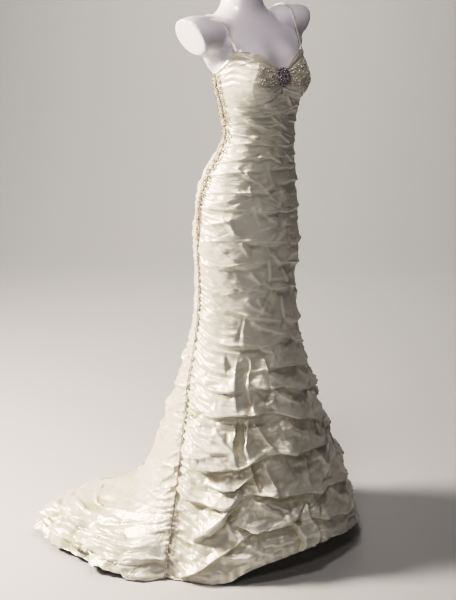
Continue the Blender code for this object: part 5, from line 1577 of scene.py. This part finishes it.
def metal(name, colour, roughness, streaks):
    m, s = new_material(name, colour, roughness, 1.0)
    t = m.node_tree
    where = node(t, "ShaderNodeTexCoord", -1100, 0)
    stretch = node(t, "ShaderNodeMapping", -900, 0)
    stretch.inputs["Scale"].default_value = streaks
    t.links.new(where.outputs["Object"], stretch.inputs["Vector"])
    grain = node(t, "ShaderNodeTexNoise", -700, 0, Scale=60.0, Detail=4.0)
    t.links.new(stretch.outputs["Vector"], grain.inputs["Vector"])
    rough = t.nodes.new("ShaderNodeMapRange")
    rough.location = (-450, -100)
    rough.inputs["To Min"].default_value, rough.inputs["To Max"].default_value = roughness * 0.75, roughness * 1.35
    t.links.new(grain.outputs["Fac"], rough.inputs["Value"])
    t.links.new(rough.outputs["Result"], s.inputs["Roughness"])
    ramp = t.nodes.new("ShaderNodeValToRGB")
    ramp.location = (-450, 150)
    ramp.color_ramp.elements[0].color = (*[c * 0.88 for c in colour], 1)
    ramp.color_ramp.elements[1].color = (*[min(1, c * 1.1) for c in colour], 1)
    t.links.new(grain.outputs["Fac"], ramp.inputs["Fac"])
    t.links.new(ramp.outputs["Color"], s.inputs["Base Color"])
    return m


BRUSHED = metal("brushed_steel", (0.60, 0.60, 0.61), 0.28, (1.0, 1.0, 0.05))
ZIP_METAL = metal("zip_metal", (0.72, 0.70, 0.66), 0.25, (1.0, 1.0, 1.0))
for names, m in ((("stand_pole", "stand_base"), BRUSHED), (("zip_slider", "zip_pull"), ZIP_METAL)):
    for n_ in names:
        for held_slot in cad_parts[n_].material_slots:
            held_slot.link = "OBJECT"
            held_slot.material = m

# ---------------------------------------------------------------- floor, light and camera
def backdrop():
    """Floor and wall in one sweep, behind and below the dress as the camera sees it."""
    rows = [(-8.0, 0.0), (3.2, 0.0)]
    for i in range(1, 13):
        u = math.radians(90 * i / 12)
        rows.append((3.2 + 2.2 * math.sin(u), 2.2 - 2.2 * math.cos(u)))
    rows.append((5.4, 7.0))
    verts, faces = [], []
    for d, h in rows:
        for w in (-9.0, 9.0):
            v = -back_way * d + right_way * w
            verts.append((v.x, v.y, h - 0.0005))
    for i in range(len(rows) - 1):
        faces.append((2 * i, 2 * i + 1, 2 * i + 3, 2 * i + 2))
    mesh = bpy.data.meshes.new("backdrop")
    mesh.from_pydata(verts, [], faces)
    mesh.shade_smooth()
    m, s = new_material("floor_paper", (0.66, 0.655, 0.65), 0.75)
    mesh.materials.append(m)
    o = bpy.data.objects.new("backdrop", mesh)
    bpy.context.scene.collection.objects.link(o)


AZ, PITCH, HEIGHT, AWAY = math.radians(-41.0), math.radians(15.9), 1.75, 3.6
right_way = Vector((math.cos(AZ), math.sin(AZ), 0))
back_way = Vector((math.sin(AZ), -math.cos(AZ), 0))
backdrop()


def area_light(name, place, target, size, power, colour=(1, 1, 1)):
    d = bpy.data.lights.new(name, "AREA")
    d.shape, d.size, d.energy, d.color = "DISK", size, power, colour
    o = bpy.data.objects.new(name, d)
    o.location = place
    o.rotation_euler = (Vector(target) - Vector(place)).to_track_quat("-Z", "Y").to_euler()
    bpy.context.scene.collection.objects.link(o)
    return o


cam_data = bpy.data.cameras.new("camera")
cam_data.lens, cam_data.sensor_width = 78.96, 36.0
cam = bpy.data.objects.new("camera", cam_data)
cam.location = back_way * AWAY - right_way * 0.0495 + Vector((0, 0, HEIGHT))
look = -back_way * math.cos(PITCH) + Vector((0, 0, -math.sin(PITCH)))
cam.rotation_euler = look.to_track_quat("-Z", "Y").to_euler()
bpy.context.scene.collection.objects.link(cam)
bpy.context.scene.camera = cam

key = -right_way * 2.73 + back_way * 0.20 + Vector((0, 0, 2.2))
area_light("key", key, (0, 0, 0.95), 0.80, 146, (1.0, 0.985, 0.96))
area_light("fill", back_way * 2.6 - right_way * 0.45 + Vector((0, 0, 2.2)), (0, 0, 1.0), 0.5, 10, (1.0, 0.97, 0.955))
area_light("top", back_way * 0.9 - right_way * 0.2 + Vector((0, 0, 3.2)), (0, 0, 1.4), 0.6, 19, (1.0, 0.97, 0.97))
area_light("wall_wash", -back_way * 2.3 + Vector((0, 0, 3.4)), -back_way * 5.0 + Vector((0, 0, 0.9)), 1.2, 60)
world = bpy.data.worlds.new("studio")
world.use_nodes = True
world.node_tree.nodes["Background"].inputs["Color"].default_value = (1.0, 0.93, 0.92, 1)
world.node_tree.nodes["Background"].inputs["Strength"].default_value = 0.010
bpy.context.scene.world = world
view = bpy.context.scene.view_settings
view.view_transform, view.look = "Standard", "None"
# A soft shoulder for the lights, and cream whites.
view.use_curve_mapping = True
tone = view.curve_mapping
tone.extend = "HORIZONTAL"
tone.white_level = (2.4, 2.4, 2.4)
for k, end in enumerate((0.995, 0.960, 0.923, 1.0)):
    points = tone.curves[k].points
    points[0].location, points[1].location = (0.0, 0.0), (1.0, end)
    if k < 3:
        for x, y in ((0.03, 0.048), (0.10, 0.225), (0.20, 0.52), (0.32, 0.73), (0.50, 0.870), (0.75, 0.955)):
            points.new(x, y * end)
tone.update()

# ---------------------------------------------------------------- what each piece stands for
STANDS_FOR = {"front": "front_panel", "back_right": "back_right_panel", "back_left": "back_left_panel",
              "cup_right": "cup_right", "cup_left": "cup_left"}
for key_name, (obj, area, flat, points) in pieces.items():
    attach(obj, "root")
    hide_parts(STANDS_FOR[key_name])
for key_name, obj in laces.items():
    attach(obj, "root")
    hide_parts(key_name)
for key_name, (obj, length) in straps.items():
    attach(obj, "root")
    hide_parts(key_name)
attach(tape, "root")
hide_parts("back_zip")
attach(form, "root")
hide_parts("form_torso")

# Each panel's flat size is its own measured run across and down, gathers let out, with its area.
for key_name, (obj, area, flat, points) in pieces.items():
    down, across = edge_lengths(points)
    wide, long = float(across.sum(axis=1).max()), float(down.sum(axis=0).max())
    share = area / (wide * long)
    if share < 0.302:
        long *= share / 0.302
    print("flat", key_name, round(wide, 3), round(long, 3), "area", round(area, 4), "share", round(share, 3))
for key_name, (obj, length) in straps.items():
    print("flat", key_name, 0.0100, round(length, 3))
bpy.context.view_layer.update()
